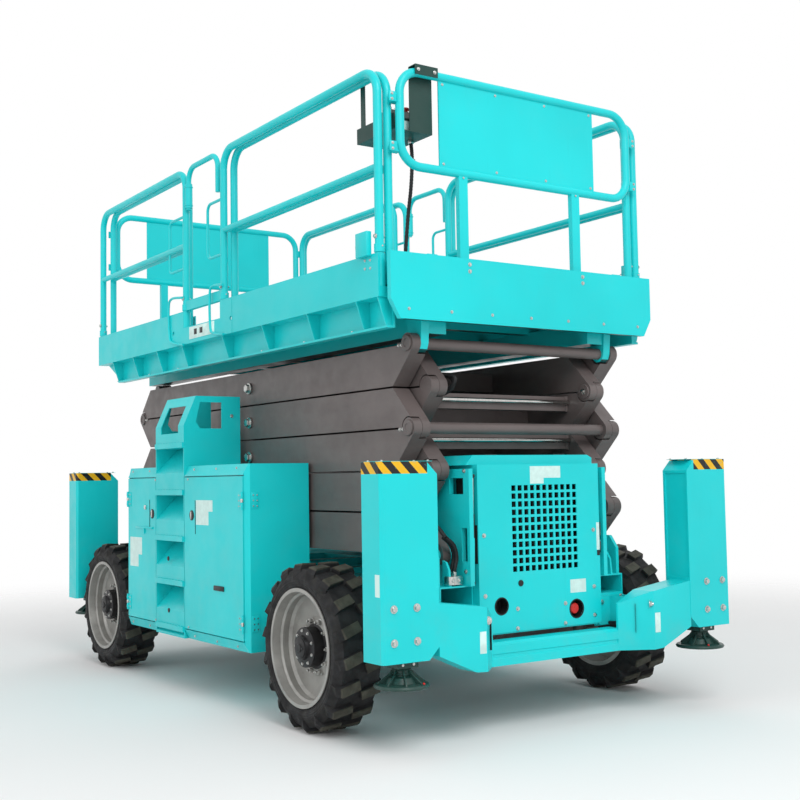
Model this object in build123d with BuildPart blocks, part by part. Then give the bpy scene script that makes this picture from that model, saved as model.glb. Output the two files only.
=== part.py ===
"""Rough-terrain scissor lift, stowed on its wheels with its outriggers raised.

Millimetres. +X is the steering end, +Z is up, and the origin is on the ground
under the middle of the machine.
"""

import os
from math import sqrt

from build123d import *

os.makedirs("parts", exist_ok=True)

# Wheels and axles
WHEELBASE = 2756
AXLE_X = {"front": 1301, "rear": 1301 - WHEELBASE}
TYRE_R = 420
TYRE_HALF = 140
CARCASS_R = 392
LUG_TOP_R = 415
LUG_COUNT = 18
FACETS = 2 * LUG_COUNT
LUG_LENGTH = 52
LUG_YAW = 20
WHEEL_Y = 992
BEAD_R = 285
HUB_R = 100
STUD_CIRCLE_R = 130
STUD_COUNT = 10
KINGPIN_Y = 750
KINGPIN_R = 22
STEER_ARM = 170

# Scissor stack: pins on two vertical lines, five levels
LEVELS = 5
PIN_FRONT_X = 1688
ARM_LENGTH = 3460
PITCH = 213
BASE_PIN_Z = 870
STOW_RUN = sqrt(ARM_LENGTH**2 - PITCH**2)
PIN_REAR_X = PIN_FRONT_X - STOW_RUN
CENTRE_X = (PIN_FRONT_X + PIN_REAR_X) / 2
BEAM_HEIGHT = 203
BEAM_WIDTH = 100
OUTER_Y = 650
INNER_Y = 540
PIN_R = 30
CENTRE_PIN_R = 35
LUG_R = 52
SLIM_LUG_R = 42
RELIEF_R = 58
ROLLER_R = 47.5
BORE_PLAY = 0.5
CROSS_TUBE_HALF = 55
FRONT_TUBE_X = 1510
FRONT_TUBE_HALF = 40
FRONT_TUBE_RISE = 45

# Lift cylinders, between the cross tubes of two inner arms
CYLINDER_FOOT = (-1100, 150)
CYLINDER_HEAD = (900, 370)
BARREL_R = 75
ROD_R = 45
ROD_EYE_HALF = 42
EYE_PIN_R = 25

# Chassis
RAIL_Y = 515
RAIL_HALF = 103
RAIL_BOTTOM = 614
RAIL_TOP = 720
RAIL_WALL = 8
RAIL_END = 1813
TOWER_FRONT = 1863
TRACK_REAR = -1850
CROSS_MEMBERS = (-1740, -1100, -455, 300, 1000, 1450)
TRACK_TOP = 822
TOWER_TOP = 1300
TOWER_Y = (438, 463)

# Outriggers
HOUSING_X = (1932, 2106)
HOUSING_MID_X = (HOUSING_X[0] + HOUSING_X[1]) / 2
HOUSING_Y = (833, 1147)
HOUSING_Z = (429, 1335)
HOUSING_EDGE = 14
ARM_REAR_X = 1976
BEAM_FACE_X = 1973
LEG_HALF = 56
LEG_Y = 990
LEG_PLAY = 6
PAD_Z = 310

# Front module
COVER_X = (1560, 1863)
COVER_HALF_Y = 410
COVER_Z = (470, 1320)
SHEET = 6
GRILLE_Y = (-198, 257)
GRILLE_Z = (768, 1219)
GRILLE_COLUMNS = 11
GRILLE_ROWS = 11
HOLE_SIDE = 28

# Side pods
POD_X = (-1016, 715)
POD_Y = (720, 1120)
POD_Z = (326, 1353)
POD_WALL = 20
DOOR_Z = (388, 1285)
DOOR_BACK_Y = 1096
HINGE_Y = 1124
HINGE_R = 7
DOOR_INSET = 28
LADDER_X = (-522, -92)
LADDER_TOP = 1780
LADDER_PLATE = 8
STEP_Z = (394, 665, 931, 1210, 1497)
STEP_LIP = 32
STEP_DEPTH = 145
STEP_POCKET = 185

# Platform
DECK_Z = 2200
DECK_X = (-2140, 1749)
TOE_Y = 905
TOE_Z = (2148, 2365)
SILL_Z = 2256
BEAM_FOOT_Z = 1998
CORNER_POST_Y = 878
CORNER_POST_R = 27
POST_X = (-2113, -585, -20, 1722)
GUSSET_X = (-1855, -1461, -1026, -610, -12, 513, 1035, 1535, 1735)
SPLIT_X = 133
RAIL_TUBE_R = 22.5
RAIL_BEND_R = 120
MID_TUBE_R = 19
TOP_RAIL_Z = 3299
MID_RAIL_Z = 2802
HANDLE_R = 9
SLEEVE_X = -540
SLEEVE_Z = (3042, 3200)
GATE_TUBE_R = 17
GATE_FREE_X = -100
GATE_FREE_Z = 3058
EXT_RAIL_Y = 822
EXT_DECK_Z = 2212
EXT_DECK_HALF = 845
EXT_TOE_Y = 796
END_FRAME_HALF = 778
END_FRAME_LOW = 2815
INFILL_Y = (-540, 522)
END_POST_Y = (-400, 372)
END_POST_HALF = 28


def block(x, y, z, mode=Mode.ADD):
    """A rectangular block given by its two limits on each axis."""
    with Locations(((x[0] + x[1]) / 2, (y[0] + y[1]) / 2, (z[0] + z[1]) / 2)):
        Box(abs(x[1] - x[0]), abs(y[1] - y[0]), abs(z[1] - z[0]), mode=mode)


def bar(start, end, radius, mode=Mode.ADD):
    """A round bar between two points."""
    run = Vector(*end) - Vector(*start)
    with BuildSketch(Plane(origin=start, z_dir=run)) as section:
        Circle(radius)
    extrude(section.sketch, amount=run.length, mode=mode)


def cross_bar(x, y, z, radius, mode=Mode.ADD):
    """A round bar across the machine, between two values of Y."""
    bar((x, y[0], z), (x, y[1], z), radius, mode=mode)


def plate(plane, points, thickness, mode=Mode.ADD):
    """A plate of one outline, standing on a plane."""
    with BuildSketch(plane) as section:
        Polygon(*points, align=None)
    extrude(section.sketch, amount=thickness, mode=mode)


def plate_xz(points, y, mode=Mode.ADD):
    """A plate along the machine, from its outline in X and Z, between two values of Y."""
    plate(Plane.XZ.offset(-max(y)), points, max(y) - min(y), mode=mode)


def plate_yz(points, x, mode=Mode.ADD):
    """A plate across the machine, from its outline in Y and Z, between two values of X."""
    plate(Plane.YZ.offset(min(x)), points, max(x) - min(x), mode=mode)


def plate_xy(points, z, mode=Mode.ADD):
    """A level plate, from its outline in X and Y, between two values of Z."""
    plate(Plane.XY.offset(min(z)), points, max(z) - min(z), mode=mode)


def bent_tube(plane, points, radius, bend, closed=False):
    """A round tube with equal bends, whose line lies in one plane."""
    with BuildLine(plane) as line:
        FilletPolyline(*points, radius=bend, close=closed)
    with BuildSketch(Plane(origin=line.line @ 0, z_dir=line.line % 0)) as section:
        Circle(radius)
    sweep(section.sketch, path=line.line)


def both_sides(low, high):
    """The same span of Y on the right (-Y) and on the left (+Y)."""
    return ((-high, -low), (low, high))


def pin_height(node):
    """Height of the pins at a node, counted from the chassis."""
    return BASE_PIN_Z + node * PITCH


def save(shape, name):
    shape.label = name
    export_step(shape, f"parts/{name}.step")


# Chassis frame: hollow rails, cross members, pivot towers, slider tracks and pod brackets
RAIL_INNER_Y = RAIL_Y - RAIL_HALF
RAIL_OUTER_Y = RAIL_Y + RAIL_HALF
TRACK_FLANGE = 14
with BuildPart() as chassis_frame:
    for y in both_sides(RAIL_INNER_Y, RAIL_OUTER_Y):
        block((-RAIL_END, RAIL_END), y, (RAIL_BOTTOM, RAIL_TOP))
        block((1200, RAIL_END), (y[0] + RAIL_WALL, y[1] - RAIL_WALL),
              (RAIL_BOTTOM + RAIL_WALL, RAIL_TOP - RAIL_WALL), mode=Mode.SUBTRACT)
        block((RAIL_END - 12, RAIL_END), y, (450, RAIL_BOTTOM + 1))
        block((-RAIL_END, 12 - RAIL_END), y, (450, RAIL_BOTTOM + 1))
    for x in CROSS_MEMBERS:
        block((x - 60, x + 60), (-RAIL_INNER_Y - 1, RAIL_INNER_Y + 1), (RAIL_BOTTOM, RAIL_TOP))
    for y in both_sides(598, 618):
        tower = [(1590, RAIL_TOP - 5), (1790, RAIL_TOP - 5), (1790, 860), (1740, 925), (1636, 925),
                 (1590, 860)]
        plate_xz(tower, y)
    for y in both_sides(540, 552):
        rib = [(1750, RAIL_TOP - 1), (1808, RAIL_TOP - 1), (1800, 800), (1776, 838), (1750, 846)]
        plate_xz(rib, y)
    for y in both_sides(440, 628):
        cross_bar(PIN_FRONT_X, y, BASE_PIN_Z, PIN_R)
    for side in (-1, 1):
        track = [(side * 594, RAIL_TOP - 5), (side * 606, RAIL_TOP - 5),
                 (side * 606, TRACK_TOP - TRACK_FLANGE), (side * 716, TRACK_TOP - TRACK_FLANGE),
                 (side * 716, 905), (side * 706, 905), (side * 706, TRACK_TOP), (side * 594, TRACK_TOP)]
        plate_yz(track, (TRACK_REAR, -700))
        for x in AXLE_X.values():
            block((x - 90, x + 90), (side * 430, side * 530), (495, RAIL_BOTTOM + 2))
    for x in (-1300, 300):
        for y in both_sides(RAIL_OUTER_Y - 2, POD_Y[0]):
            block((x - 50, x + 50), y, (RAIL_BOTTOM + 10, RAIL_TOP - 10))
save(chassis_frame.part, "chassis_frame")

# Pivot towers: tall plates inboard of the arms, with two windows each
for hand, side in (("right", -1), ("left", 1)):
    tower_y = (side * TOWER_Y[0], side * TOWER_Y[1])
    with BuildPart() as tower:
        outline = [(1500, RAIL_TOP), (TOWER_FRONT, RAIL_TOP), (TOWER_FRONT, TOWER_TOP), (1620, TOWER_TOP),
                   (1500, 1100)]
        plate_xz(outline, tower_y)
        for window_x, window_z in (((1701, 1816), (1173, 1254)), ((1796, 1842), (839, 1005))):
            block(window_x, tower_y, window_z, mode=Mode.SUBTRACT)
        cross_bar(PIN_FRONT_X, tower_y, BASE_PIN_Z, PIN_R + BORE_PLAY, mode=Mode.SUBTRACT)
    save(tower.part, f"tower_{hand}")

# Outriggers: a low cross beam, two angled arms and a chamfered hollow housing at each end
with BuildPart() as outrigger:
    for side in (-1, 1):
        inner_y, outer_y = (side * y for y in HOUSING_Y)
        rear_x, face_x = HOUSING_X
        plan = [(rear_x, inner_y), (face_x, inner_y), (face_x, outer_y - side * HOUSING_EDGE),
                (face_x - HOUSING_EDGE, outer_y), (rear_x + HOUSING_EDGE, outer_y),
                (rear_x, outer_y - side * HOUSING_EDGE)]
        plate_xy(plan, HOUSING_Z)
        for z, cut in ((HOUSING_Z[1], -60), (HOUSING_Z[0], 60)):
            corner = [(inner_y - side, z), (inner_y + side * 60, z), (inner_y - side, z + cut)]
            plate_yz(corner, (rear_x - 1, face_x + 1), mode=Mode.SUBTRACT)
        block((rear_x + 14, face_x - 10), (inner_y - side, inner_y + side * SHEET), (700, 1262),
              mode=Mode.SUBTRACT)
        profile = [(side * 420, 335), (side * 620, 346), (side * 834, 440), (side * 834, 683),
                   (side * 550, 645), (side * 420, 580)]
        plate_yz(profile, (ARM_REAR_X - 15, face_x - 2))
        facet = [(face_x - 1, side * 556), (face_x + 5, side * 556), (face_x + 5, side * 400),
                 (ARM_REAR_X - 3, side * 400), (ARM_REAR_X - 3, side * 426)]
        plate_xy(facet, (330, 700), mode=Mode.SUBTRACT)
        for y in ((side * 505, side * 517), (side * 588, side * 600)):
            block((RAIL_END + 13, ARM_REAR_X), y, (460, 606))
        block((RAIL_END + 1, RAIL_END + 14), (side * 425, side * 612), (455, 608))
    lip = [(1880, 335), (BEAM_FACE_X, 335), (BEAM_FACE_X, 372), (BEAM_FACE_X - 6, 378),
           (BEAM_FACE_X - 6, 390), (BEAM_FACE_X, 396), (BEAM_FACE_X, 436), (BEAM_FACE_X - 14, 450),
           (1880, 450)]
    plate_xz(lip, (-445, 445))
    with Locations((HOUSING_MID_X, LEG_Y, 860), (HOUSING_MID_X, -LEG_Y, 860)):
        Box(2 * (LEG_HALF + LEG_PLAY), 2 * (LEG_HALF + LEG_PLAY), 880, mode=Mode.SUBTRACT)
save(outrigger.part, "front_outrigger")
save(mirror(outrigger.part, about=Plane.YZ), "rear_outrigger")

# Outrigger legs with round dished foot pads
for end, turn in (("front", 1), ("rear", -1)):
    for hand, side in (("right", -1), ("left", 1)):
        leg_x = turn * HOUSING_MID_X
        leg_y = side * LEG_Y
        with BuildPart() as leg:
            block((leg_x - LEG_HALF, leg_x + LEG_HALF), (leg_y - LEG_HALF, leg_y + LEG_HALF), (400, 1240))
            with BuildSketch(Plane.XZ.offset(-leg_y)) as pad:
                Polygon((leg_x, PAD_Z), (leg_x + 126, PAD_Z), (leg_x + 130, PAD_Z + 8),
                        (leg_x + 124, PAD_Z + 16), (leg_x + 78, PAD_Z + 22), (leg_x + 62, PAD_Z + 46),
                        (leg_x + 40, PAD_Z + 52), (leg_x + 40, PAD_Z + 92), (leg_x, PAD_Z + 92), align=None)
            revolve(pad.sketch, axis=Axis((leg_x, leg_y, 0), (0, 0, 1)))
        save(leg.part, f"jack_leg_{end}_{hand}")

# Axles: the front one ends in yokes for the kingpins, the rear one carries its hubs directly
for end in ("front", "rear"):
    axle_x = AXLE_X[end]
    steered = end == "front"
    with BuildPart() as axle:
        reach = 650 if steered else 985
        cross_bar(axle_x, (-reach, reach), TYRE_R, 75 if steered else 60)
        with Locations((axle_x, 0, TYRE_R)):
            Sphere(125)
        cross_bar(axle_x, (-190, 190), TYRE_R, 95)
        for side in (-1, 1):
            block((axle_x - 80, axle_x + 80), (side * 440, side * 520), (TYRE_R, 495))
            if steered:
                for low, high in ((-125, -95), (95, 125)):
                    yoke = [(axle_x - 60, side * 641), (axle_x + 60, side * 641),
                            (axle_x + 60, side * 720), (axle_x + 38, side * (KINGPIN_Y + 50)),
                            (axle_x - 38, side * (KINGPIN_Y + 50)), (axle_x - 60, side * 720)]
                    plate_xy(yoke, (TYRE_R + low, TYRE_R + high))
                block((axle_x - 45, axle_x + 45), (side * 640, side * 672), (TYRE_R - 125, TYRE_R + 125))
                bar((axle_x, side * KINGPIN_Y, TYRE_R - 130), (axle_x, side * KINGPIN_Y, TYRE_R + 130),
                    KINGPIN_R + BORE_PLAY, mode=Mode.SUBTRACT)
            else:
                block((axle_x - 80, axle_x + 80), (side * 640, side * 800), (TYRE_R - 80, TYRE_R + 80))
    save(axle.part, f"{end}_axle")

# Steering knuckles: kingpin, upright, spindle and steering arm
for hand, side in (("right", -1), ("left", 1)):
    axle_x = AXLE_X["front"]
    with BuildPart() as knuckle:
        for half_height, radius in ((128, KINGPIN_R), (88, 50)):
            bar((axle_x, side * KINGPIN_Y, TYRE_R - half_height),
                (axle_x, side * KINGPIN_Y, TYRE_R + half_height), radius)
        cross_bar(axle_x, (side * KINGPIN_Y, side * 985), TYRE_R, 60)
        arm_y = side * (KINGPIN_Y - 20)
        arm = [(axle_x - 40, arm_y - 15), (axle_x - STEER_ARM, arm_y - 25),
               (axle_x - STEER_ARM - 30, arm_y - 15), (axle_x - STEER_ARM - 30, arm_y + 15),
               (axle_x - STEER_ARM, arm_y + 25), (axle_x - 40, arm_y + 15)]
        plate_xy(arm, (TYRE_R + 50, TYRE_R + 70))
    save(knuckle.part, f"knuckle_{hand}")

# Tie rod: a bar whose eyes lie over the steering arms
with BuildPart() as tie_rod:
    rod_x = AXLE_X["front"] - STEER_ARM
    rod_z = TYRE_R + 92
    cross_bar(rod_x, (20 - KINGPIN_Y, KINGPIN_Y - 20), rod_z, 16)
    with Locations((rod_x, KINGPIN_Y - 20, rod_z), (rod_x, 20 - KINGPIN_Y, rod_z)):
        Cylinder(28, 36)
save(tie_rod.part, "tie_rod")

# Wheels, drawn about a local Z axle with +Z outboard, then set on each corner
with BuildPart() as tread_lug:
    with BuildSketch(Plane.XZ.rotated((LUG_YAW, 0, 0))) as section:
        Polygon((CARCASS_R - 12, 10), (LUG_TOP_R, 12), (LUG_TOP_R, 112), (LUG_TOP_R - 30, TYRE_HALF - 6),
                (CARCASS_R - 52, TYRE_HALF - 4), (CARCASS_R - 52, 108), align=None)
    extrude(section.sketch, amount=LUG_LENGTH / 2, both=True)
with BuildPart() as tyre:
    for z, radius in ((-134, 350), (-106, CARCASS_R), (106, CARCASS_R), (134, 350)):
        with BuildSketch(Plane.XY.offset(z)):
            RegularPolygon(radius, FACETS)
    loft(ruled=True)
    for side in (-1, 1):
        with BuildSketch(Plane.XY.offset(side * 135)) as mouth:
            RegularPolygon(BEAD_R + 46, FACETS)
        with BuildSketch(Plane.XY.offset(side * 117)) as bead:
            RegularPolygon(BEAD_R - 2, FACETS)
        loft(Sketch() + [mouth.sketch, bead.sketch], ruled=True, mode=Mode.SUBTRACT)
    with BuildSketch(Plane.XY.offset(-TYRE_HALF)) as bore:
        RegularPolygon(BEAD_R, FACETS, major_radius=False)
    extrude(bore.sketch, amount=2 * TYRE_HALF, mode=Mode.SUBTRACT)
    with PolarLocations(0, LUG_COUNT):
        add(tread_lug.part)
    with PolarLocations(0, LUG_COUNT, start_angle=180 / LUG_COUNT):
        add(tread_lug.part.rotate(Axis.X, 180))
with BuildPart() as rim:
    with BuildSketch(Plane.XZ) as section:
        Polygon((BEAD_R, -118), (BEAD_R, 121), (297, 125), (297, 131), (279, 131), (273, 86),
                (262, 78), (262, 44), (248, 30), (150, 20), (HUB_R, 40), (HUB_R, 98), (62, 106),
                (58, 122), (0, 122), (0, -2), (150, -2), (254, 0), (262, -118), align=None)
    revolve(section.sketch, axis=Axis.Z)
    with BuildSketch(Plane.XY.offset(20)) as studs:
        with PolarLocations(STUD_CIRCLE_R, STUD_COUNT):
            RegularPolygon(12, 6)
    extrude(studs.sketch, amount=28)
for end in ("front", "rear"):
    for hand, side in (("right", -1), ("left", 1)):
        hub = Location(Plane(origin=(AXLE_X[end], side * WHEEL_Y, TYRE_R), x_dir=(1, 0, 0),
                             z_dir=(0, side, 0)))
        save(tyre.part.moved(hub), f"tyre_{end}_{hand}")
        save(rim.part.moved(hub), f"rim_{end}_{hand}")

# Front module: a cover pierced by a square grille, with a hood, and the radiator core behind it
grille_middle = (sum(GRILLE_Y) / 2, sum(GRILLE_Z) / 2)
column_pitch = (GRILLE_Y[1] - GRILLE_Y[0]) / GRILLE_COLUMNS
row_pitch = (GRILLE_Z[1] - GRILLE_Z[0]) / GRILLE_ROWS
with BuildPart() as module_cover:
    back, face = COVER_X
    low, top = COVER_Z
    block(COVER_X, (-COVER_HALF_Y, COVER_HALF_Y), COVER_Z)
    block((back - 1, face - SHEET), (SHEET - COVER_HALF_Y, COVER_HALF_Y - SHEET), (low - 1, top - SHEET),
          mode=Mode.SUBTRACT)
    for y in both_sides(COVER_HALF_Y - SHEET, COVER_HALF_Y):
        block((back - 1, 1600), y, (low - 1, 730), mode=Mode.SUBTRACT)
    with BuildSketch(Plane.YZ.offset(face - SHEET - 1)) as holes:
        with Locations(grille_middle):
            with GridLocations(column_pitch, row_pitch, GRILLE_COLUMNS, GRILLE_ROWS):
                Rectangle(HOLE_SIDE, HOLE_SIDE)
        for y, z, radius in ((-271, 608, 42), (233, 560, 48)):
            with Locations((y, z)):
                Circle(radius)
    extrude(holes.sketch, amount=SHEET + 2, mode=Mode.SUBTRACT)
    hood = [(-452, top - 2), (-405, 1368), (372, 1368), (405, 1352), (405, top - 2)]
    plate_yz(hood, (back, 1822))
save(module_cover.part, "module_cover")
with BuildPart() as radiator:
    block((1700, 1800), (-380, 380), (500, 1290))
save(radiator.part, "radiator_core")

# Side pods, their doors and contents, and the ladders that stand between the doors
pod_outline = [(POD_Y[0], POD_Z[0]), (POD_Y[1] - 28, POD_Z[0]), (POD_Y[1], POD_Z[0] + 56),
               (POD_Y[1], POD_Z[1] - 62), (POD_Y[1] - 28, POD_Z[1]), (POD_Y[0], POD_Z[1])]
bay_outline = [(POD_Y[0] + POD_WALL, POD_Z[0] + POD_WALL), (POD_Y[1] - 50, POD_Z[0] + POD_WALL),
               (POD_Y[1] - 50, POD_Z[1] - POD_WALL), (POD_Y[0] + POD_WALL, POD_Z[1] - POD_WALL)]
BAYS = {"front": (LADDER_X[1] + 4, POD_X[1]), "rear": (POD_X[0], LADDER_X[0] - 4)}
step_sheet = []
sheet_back = []
for z in STEP_Z:
    pocket = STEP_POCKET if z > STEP_Z[0] else STEP_LIP + 20
    depth = STEP_DEPTH if z > STEP_Z[0] else 30
    step_sheet += [(POD_Y[1], z - pocket), (POD_Y[1] - depth, z - STEP_LIP), (POD_Y[1] + 10, z - STEP_LIP),
                   (POD_Y[1] + 10, z), (POD_Y[1], z)]
    sheet_back += [(POD_Y[1] - SHEET, z - pocket - 4), (POD_Y[1] - depth - 7, z - STEP_LIP + SHEET),
                   (POD_Y[1] - SHEET, z - STEP_LIP + SHEET)]
step_sheet = ([(POD_Y[1], POD_Z[0])] + step_sheet
              + [(POD_Y[1], 1600), (1040, LADDER_TOP), (985, LADDER_TOP), (985, LADDER_TOP - SHEET)])
sheet_back = ([(POD_Y[1] - SHEET, POD_Z[0])] + sheet_back
              + [(POD_Y[1] - SHEET, 1598), (1036, LADDER_TOP - SHEET)])
for hand, side in (("right", -1), ("left", 1)):
    with BuildPart() as pod:
        for bay, (low, high) in BAYS.items():
            plate_yz([(side * y, z) for y, z in pod_outline], (low, high))
            plate_yz([(side * y, z) for y, z in bay_outline], (low + POD_WALL, high - POD_WALL),
                     mode=Mode.SUBTRACT)
            block((low - 1, high + 1), (side * (DOOR_BACK_Y - 6), side * 1130),
                  (DOOR_Z[0] - 6, DOOR_Z[1] + 6), mode=Mode.SUBTRACT)
            block((low + 35, high - 35), (side * 1060, side * 1100), (400, 1275), mode=Mode.SUBTRACT)
            edge_x, turn = (high, 1) if bay == "front" else (low, -1)
            strip_x = (edge_x - turn * (DOOR_INSET - 2), edge_x + turn * 1)
            block((edge_x - turn * (DOOR_INSET - 2), edge_x), (side * (DOOR_BACK_Y - 7), side * 1112),
                  (DOOR_Z[0] - 7, DOOR_Z[1] + 7))
            wedge = [(strip_x[0], side * 1112), (strip_x[1], side * 1087), (strip_x[1], side * 1130),
                     (strip_x[0], side * 1130)]
            plate_xy(wedge, (POD_Z[0] - 1, POD_Z[1] + 1), mode=Mode.SUBTRACT)
        block((LADDER_X[0] - 5, LADDER_X[1] + 5), (side * POD_Y[0], side * (POD_Y[0] + POD_WALL)), POD_Z)
    save(pod.part, f"pod_{hand}")
    for bay, (low, high) in BAYS.items():
        hinge_x = high - DOOR_INSET if bay == "front" else low + DOOR_INSET
        free_x = low + 2 if bay == "front" else high - 2
        with BuildPart() as door:
            block((hinge_x, free_x), (side * DOOR_BACK_Y, side * POD_Y[1]), DOOR_Z)
            for z in (480, 1150):
                bar((hinge_x, side * HINGE_Y, z - 50), (hinge_x, side * HINGE_Y, z + 50), HINGE_R)
        save(door.part, f"pod_door_{bay}_{hand}")
    with BuildPart() as ladder:
        left, right = LADDER_X
        cheek = [(side * 742, 1000), (side * 960, 700), (side * 960, POD_Z[0]), (side * POD_Y[1], POD_Z[0]),
                 (side * POD_Y[1], 1600), (side * 1040, LADDER_TOP), (side * 742, LADDER_TOP)]
        window = [(side * 868, 1582), (side * 1012, 1582), (side * 1040, 1622), (side * 1012, 1742),
                  (side * 868, 1742)]
        for x in ((left, left + LADDER_PLATE), (right - LADDER_PLATE, right)):
            plate_yz(cheek, x)
            plate_yz(window, (x[0] - 1, x[1] + 1), mode=Mode.SUBTRACT)
        front = [(side * y, z) for y, z in step_sheet + sheet_back[::-1]]
        plate_yz(front, (left + LADDER_PLATE - 1, right - LADDER_PLATE + 1))
        block((-438, -176), (side * 1010, side * 1140), (1556, 1722), mode=Mode.SUBTRACT)
    save(ladder.part, f"ladder_{hand}")
with BuildPart() as engine_block:
    crankcase = [(800, 346), (1050, 346), (1050, 640), (1010, 700), (1010, 960), (970, 1000), (860, 1000),
                 (800, 900)]
    plate_yz(crankcase, (0, 560))
save(engine_block.part, "engine_block")
with BuildPart() as fuel_tank:
    tank = [(-1060, 346), (-790, 346), (-790, 870), (-820, 900), (-1030, 900), (-1060, 870)]
    plate_yz(tank, (0, 560))
save(fuel_tank.part, "fuel_tank")

# Scissor arms: every level has an outer and an inner pair, crossing at the centre pin.
# A pair leans to the front when the pin at its front end is the upper one.
half_width = BEAM_WIDTH / 2
EYES = {5: CYLINDER_FOOT, 3: CYLINDER_FOOT, 4: CYLINDER_HEAD, 2: CYLINDER_HEAD}
for level in range(LEVELS, 0, -1):
    low_node = LEVELS - level
    low_z = pin_height(low_node)
    high_z = pin_height(low_node + 1)
    mid_z = (low_z + high_z) / 2
    for chain, middle_y in (("outer", OUTER_Y), ("inner", INNER_Y)):
        high_at_front = (chain == "outer") == (level % 2 == 1)
        lean = 1 if high_at_front else -1
        reach = STOW_RUN / 2
        deep = BEAM_HEIGHT / 2
        end_outline = [(reach, deep), (reach + 36.8, deep - 31.8), (reach - 134.5, -deep)]
        outline = end_outline + [(-x, -z) for x, z in end_outline]
        points = [(CENTRE_X + lean * x, mid_z + z) for x, z in outline]
        high_x = CENTRE_X + lean * reach
        low_x = CENTRE_X - lean * reach
        with BuildPart() as arm:
            for side in (-1, 1):
                inboard = side * (middle_y - half_width)
                past_middle = side * (middle_y + 1)
                before_middle = side * (middle_y - 1)
                outboard = side * (middle_y + half_width)
                plate_xz(points, (inboard, outboard))
                cross_bar(high_x, (inboard, past_middle), high_z, RELIEF_R, mode=Mode.SUBTRACT)
                cross_bar(low_x, (outboard, before_middle), low_z, RELIEF_R, mode=Mode.SUBTRACT)
                high_lug = SLIM_LUG_R if (chain, level) == ("inner", 1) else LUG_R
                low_lug = SLIM_LUG_R if (chain, level) == ("outer", LEVELS) else LUG_R
                cross_bar(high_x, (past_middle, outboard), high_z, high_lug)
                cross_bar(low_x, (inboard, before_middle), low_z, low_lug)
                cross_bar(low_x, (side * 400, side * 720), low_z, PIN_R + BORE_PLAY, mode=Mode.SUBTRACT)
            if chain == "outer":
                for y in both_sides(590, 710):
                    cross_bar(CENTRE_X, y, mid_z, CENTRE_PIN_R + BORE_PLAY, mode=Mode.SUBTRACT)
                if level < LEVELS:
                    cross_bar(high_x, (-OUTER_Y - half_width, OUTER_Y + half_width), high_z, PIN_R)
                else:
                    cross_bar(low_x, (-702, 702), low_z, 25)
                    for side in (-1, 1):
                        cross_bar(high_x, (side * 600, side * 700), high_z, PIN_R)
                        cross_bar(low_x, (side * 652, side * 702), low_z, ROLLER_R)
                        cross_bar(low_x, (side * 600, side * 652), low_z, 40)
            else:
                for side in (-1, 1):
                    cross_bar(CENTRE_X, (side * 500, side * 708), mid_z, CENTRE_PIN_R)
                    cross_bar(high_x, (side * 490, side * 590), high_z, PIN_R)
                holds_foot = level % 2 == 1
                eye_lean = -1 if holds_foot else 1
                near = 820 if holds_foot else CYLINDER_HEAD[0] + 245
                far = CYLINDER_FOOT[0] - 115 if holds_foot else -980
                bay_half = INNER_Y - half_width + 1
                for x in (near, far):
                    block((x - CROSS_TUBE_HALF, x + CROSS_TUBE_HALF), (-bay_half, bay_half),
                          (mid_z - CROSS_TUBE_HALF, mid_z + CROSS_TUBE_HALF))
                if level in (2, 3):
                    tube_z = mid_z + FRONT_TUBE_RISE
                    block((FRONT_TUBE_X - FRONT_TUBE_HALF, FRONT_TUBE_X + FRONT_TUBE_HALF),
                          (-bay_half, bay_half), (tube_z - FRONT_TUBE_HALF, tube_z + FRONT_TUBE_HALF))
                if level == 1:
                    for y in both_sides(491, 539):
                        cross_bar(high_x, y, high_z, ROLLER_R)
                if level in EYES:
                    eye_x = EYES[level][0]
                    eye_z = EYES[level][1] + BASE_PIN_Z + (2 * PITCH if level <= 3 else 0)
                    ear_low = 85 if holds_foot else 52
                    tube_face = (far if holds_foot else near) - eye_lean * CROSS_TUBE_HALF
                    root_x = tube_face + eye_lean * 20
                    ear = [(eye_x - eye_lean * 45, eye_z), (eye_x - eye_lean * 30, eye_z + 40),
                           (eye_x + eye_lean * 30, eye_z + 45), (root_x, mid_z + CROSS_TUBE_HALF + 1),
                           (root_x, mid_z - CROSS_TUBE_HALF - 1),
                           (eye_x + eye_lean * 60, mid_z - CROSS_TUBE_HALF - 1)]
                    for y in both_sides(ear_low, ear_low + 20):
                        plate_xz(ear, y)
                    if holds_foot:
                        cross_bar(eye_x, (-ear_low - 21, ear_low + 21), eye_z, EYE_PIN_R)
                    else:
                        for y in both_sides(ear_low + 19, ear_low + 36):
                            cross_bar(eye_x, y, eye_z, 32)
        save(arm.part, f"{chain}_arm_{level}")

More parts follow.
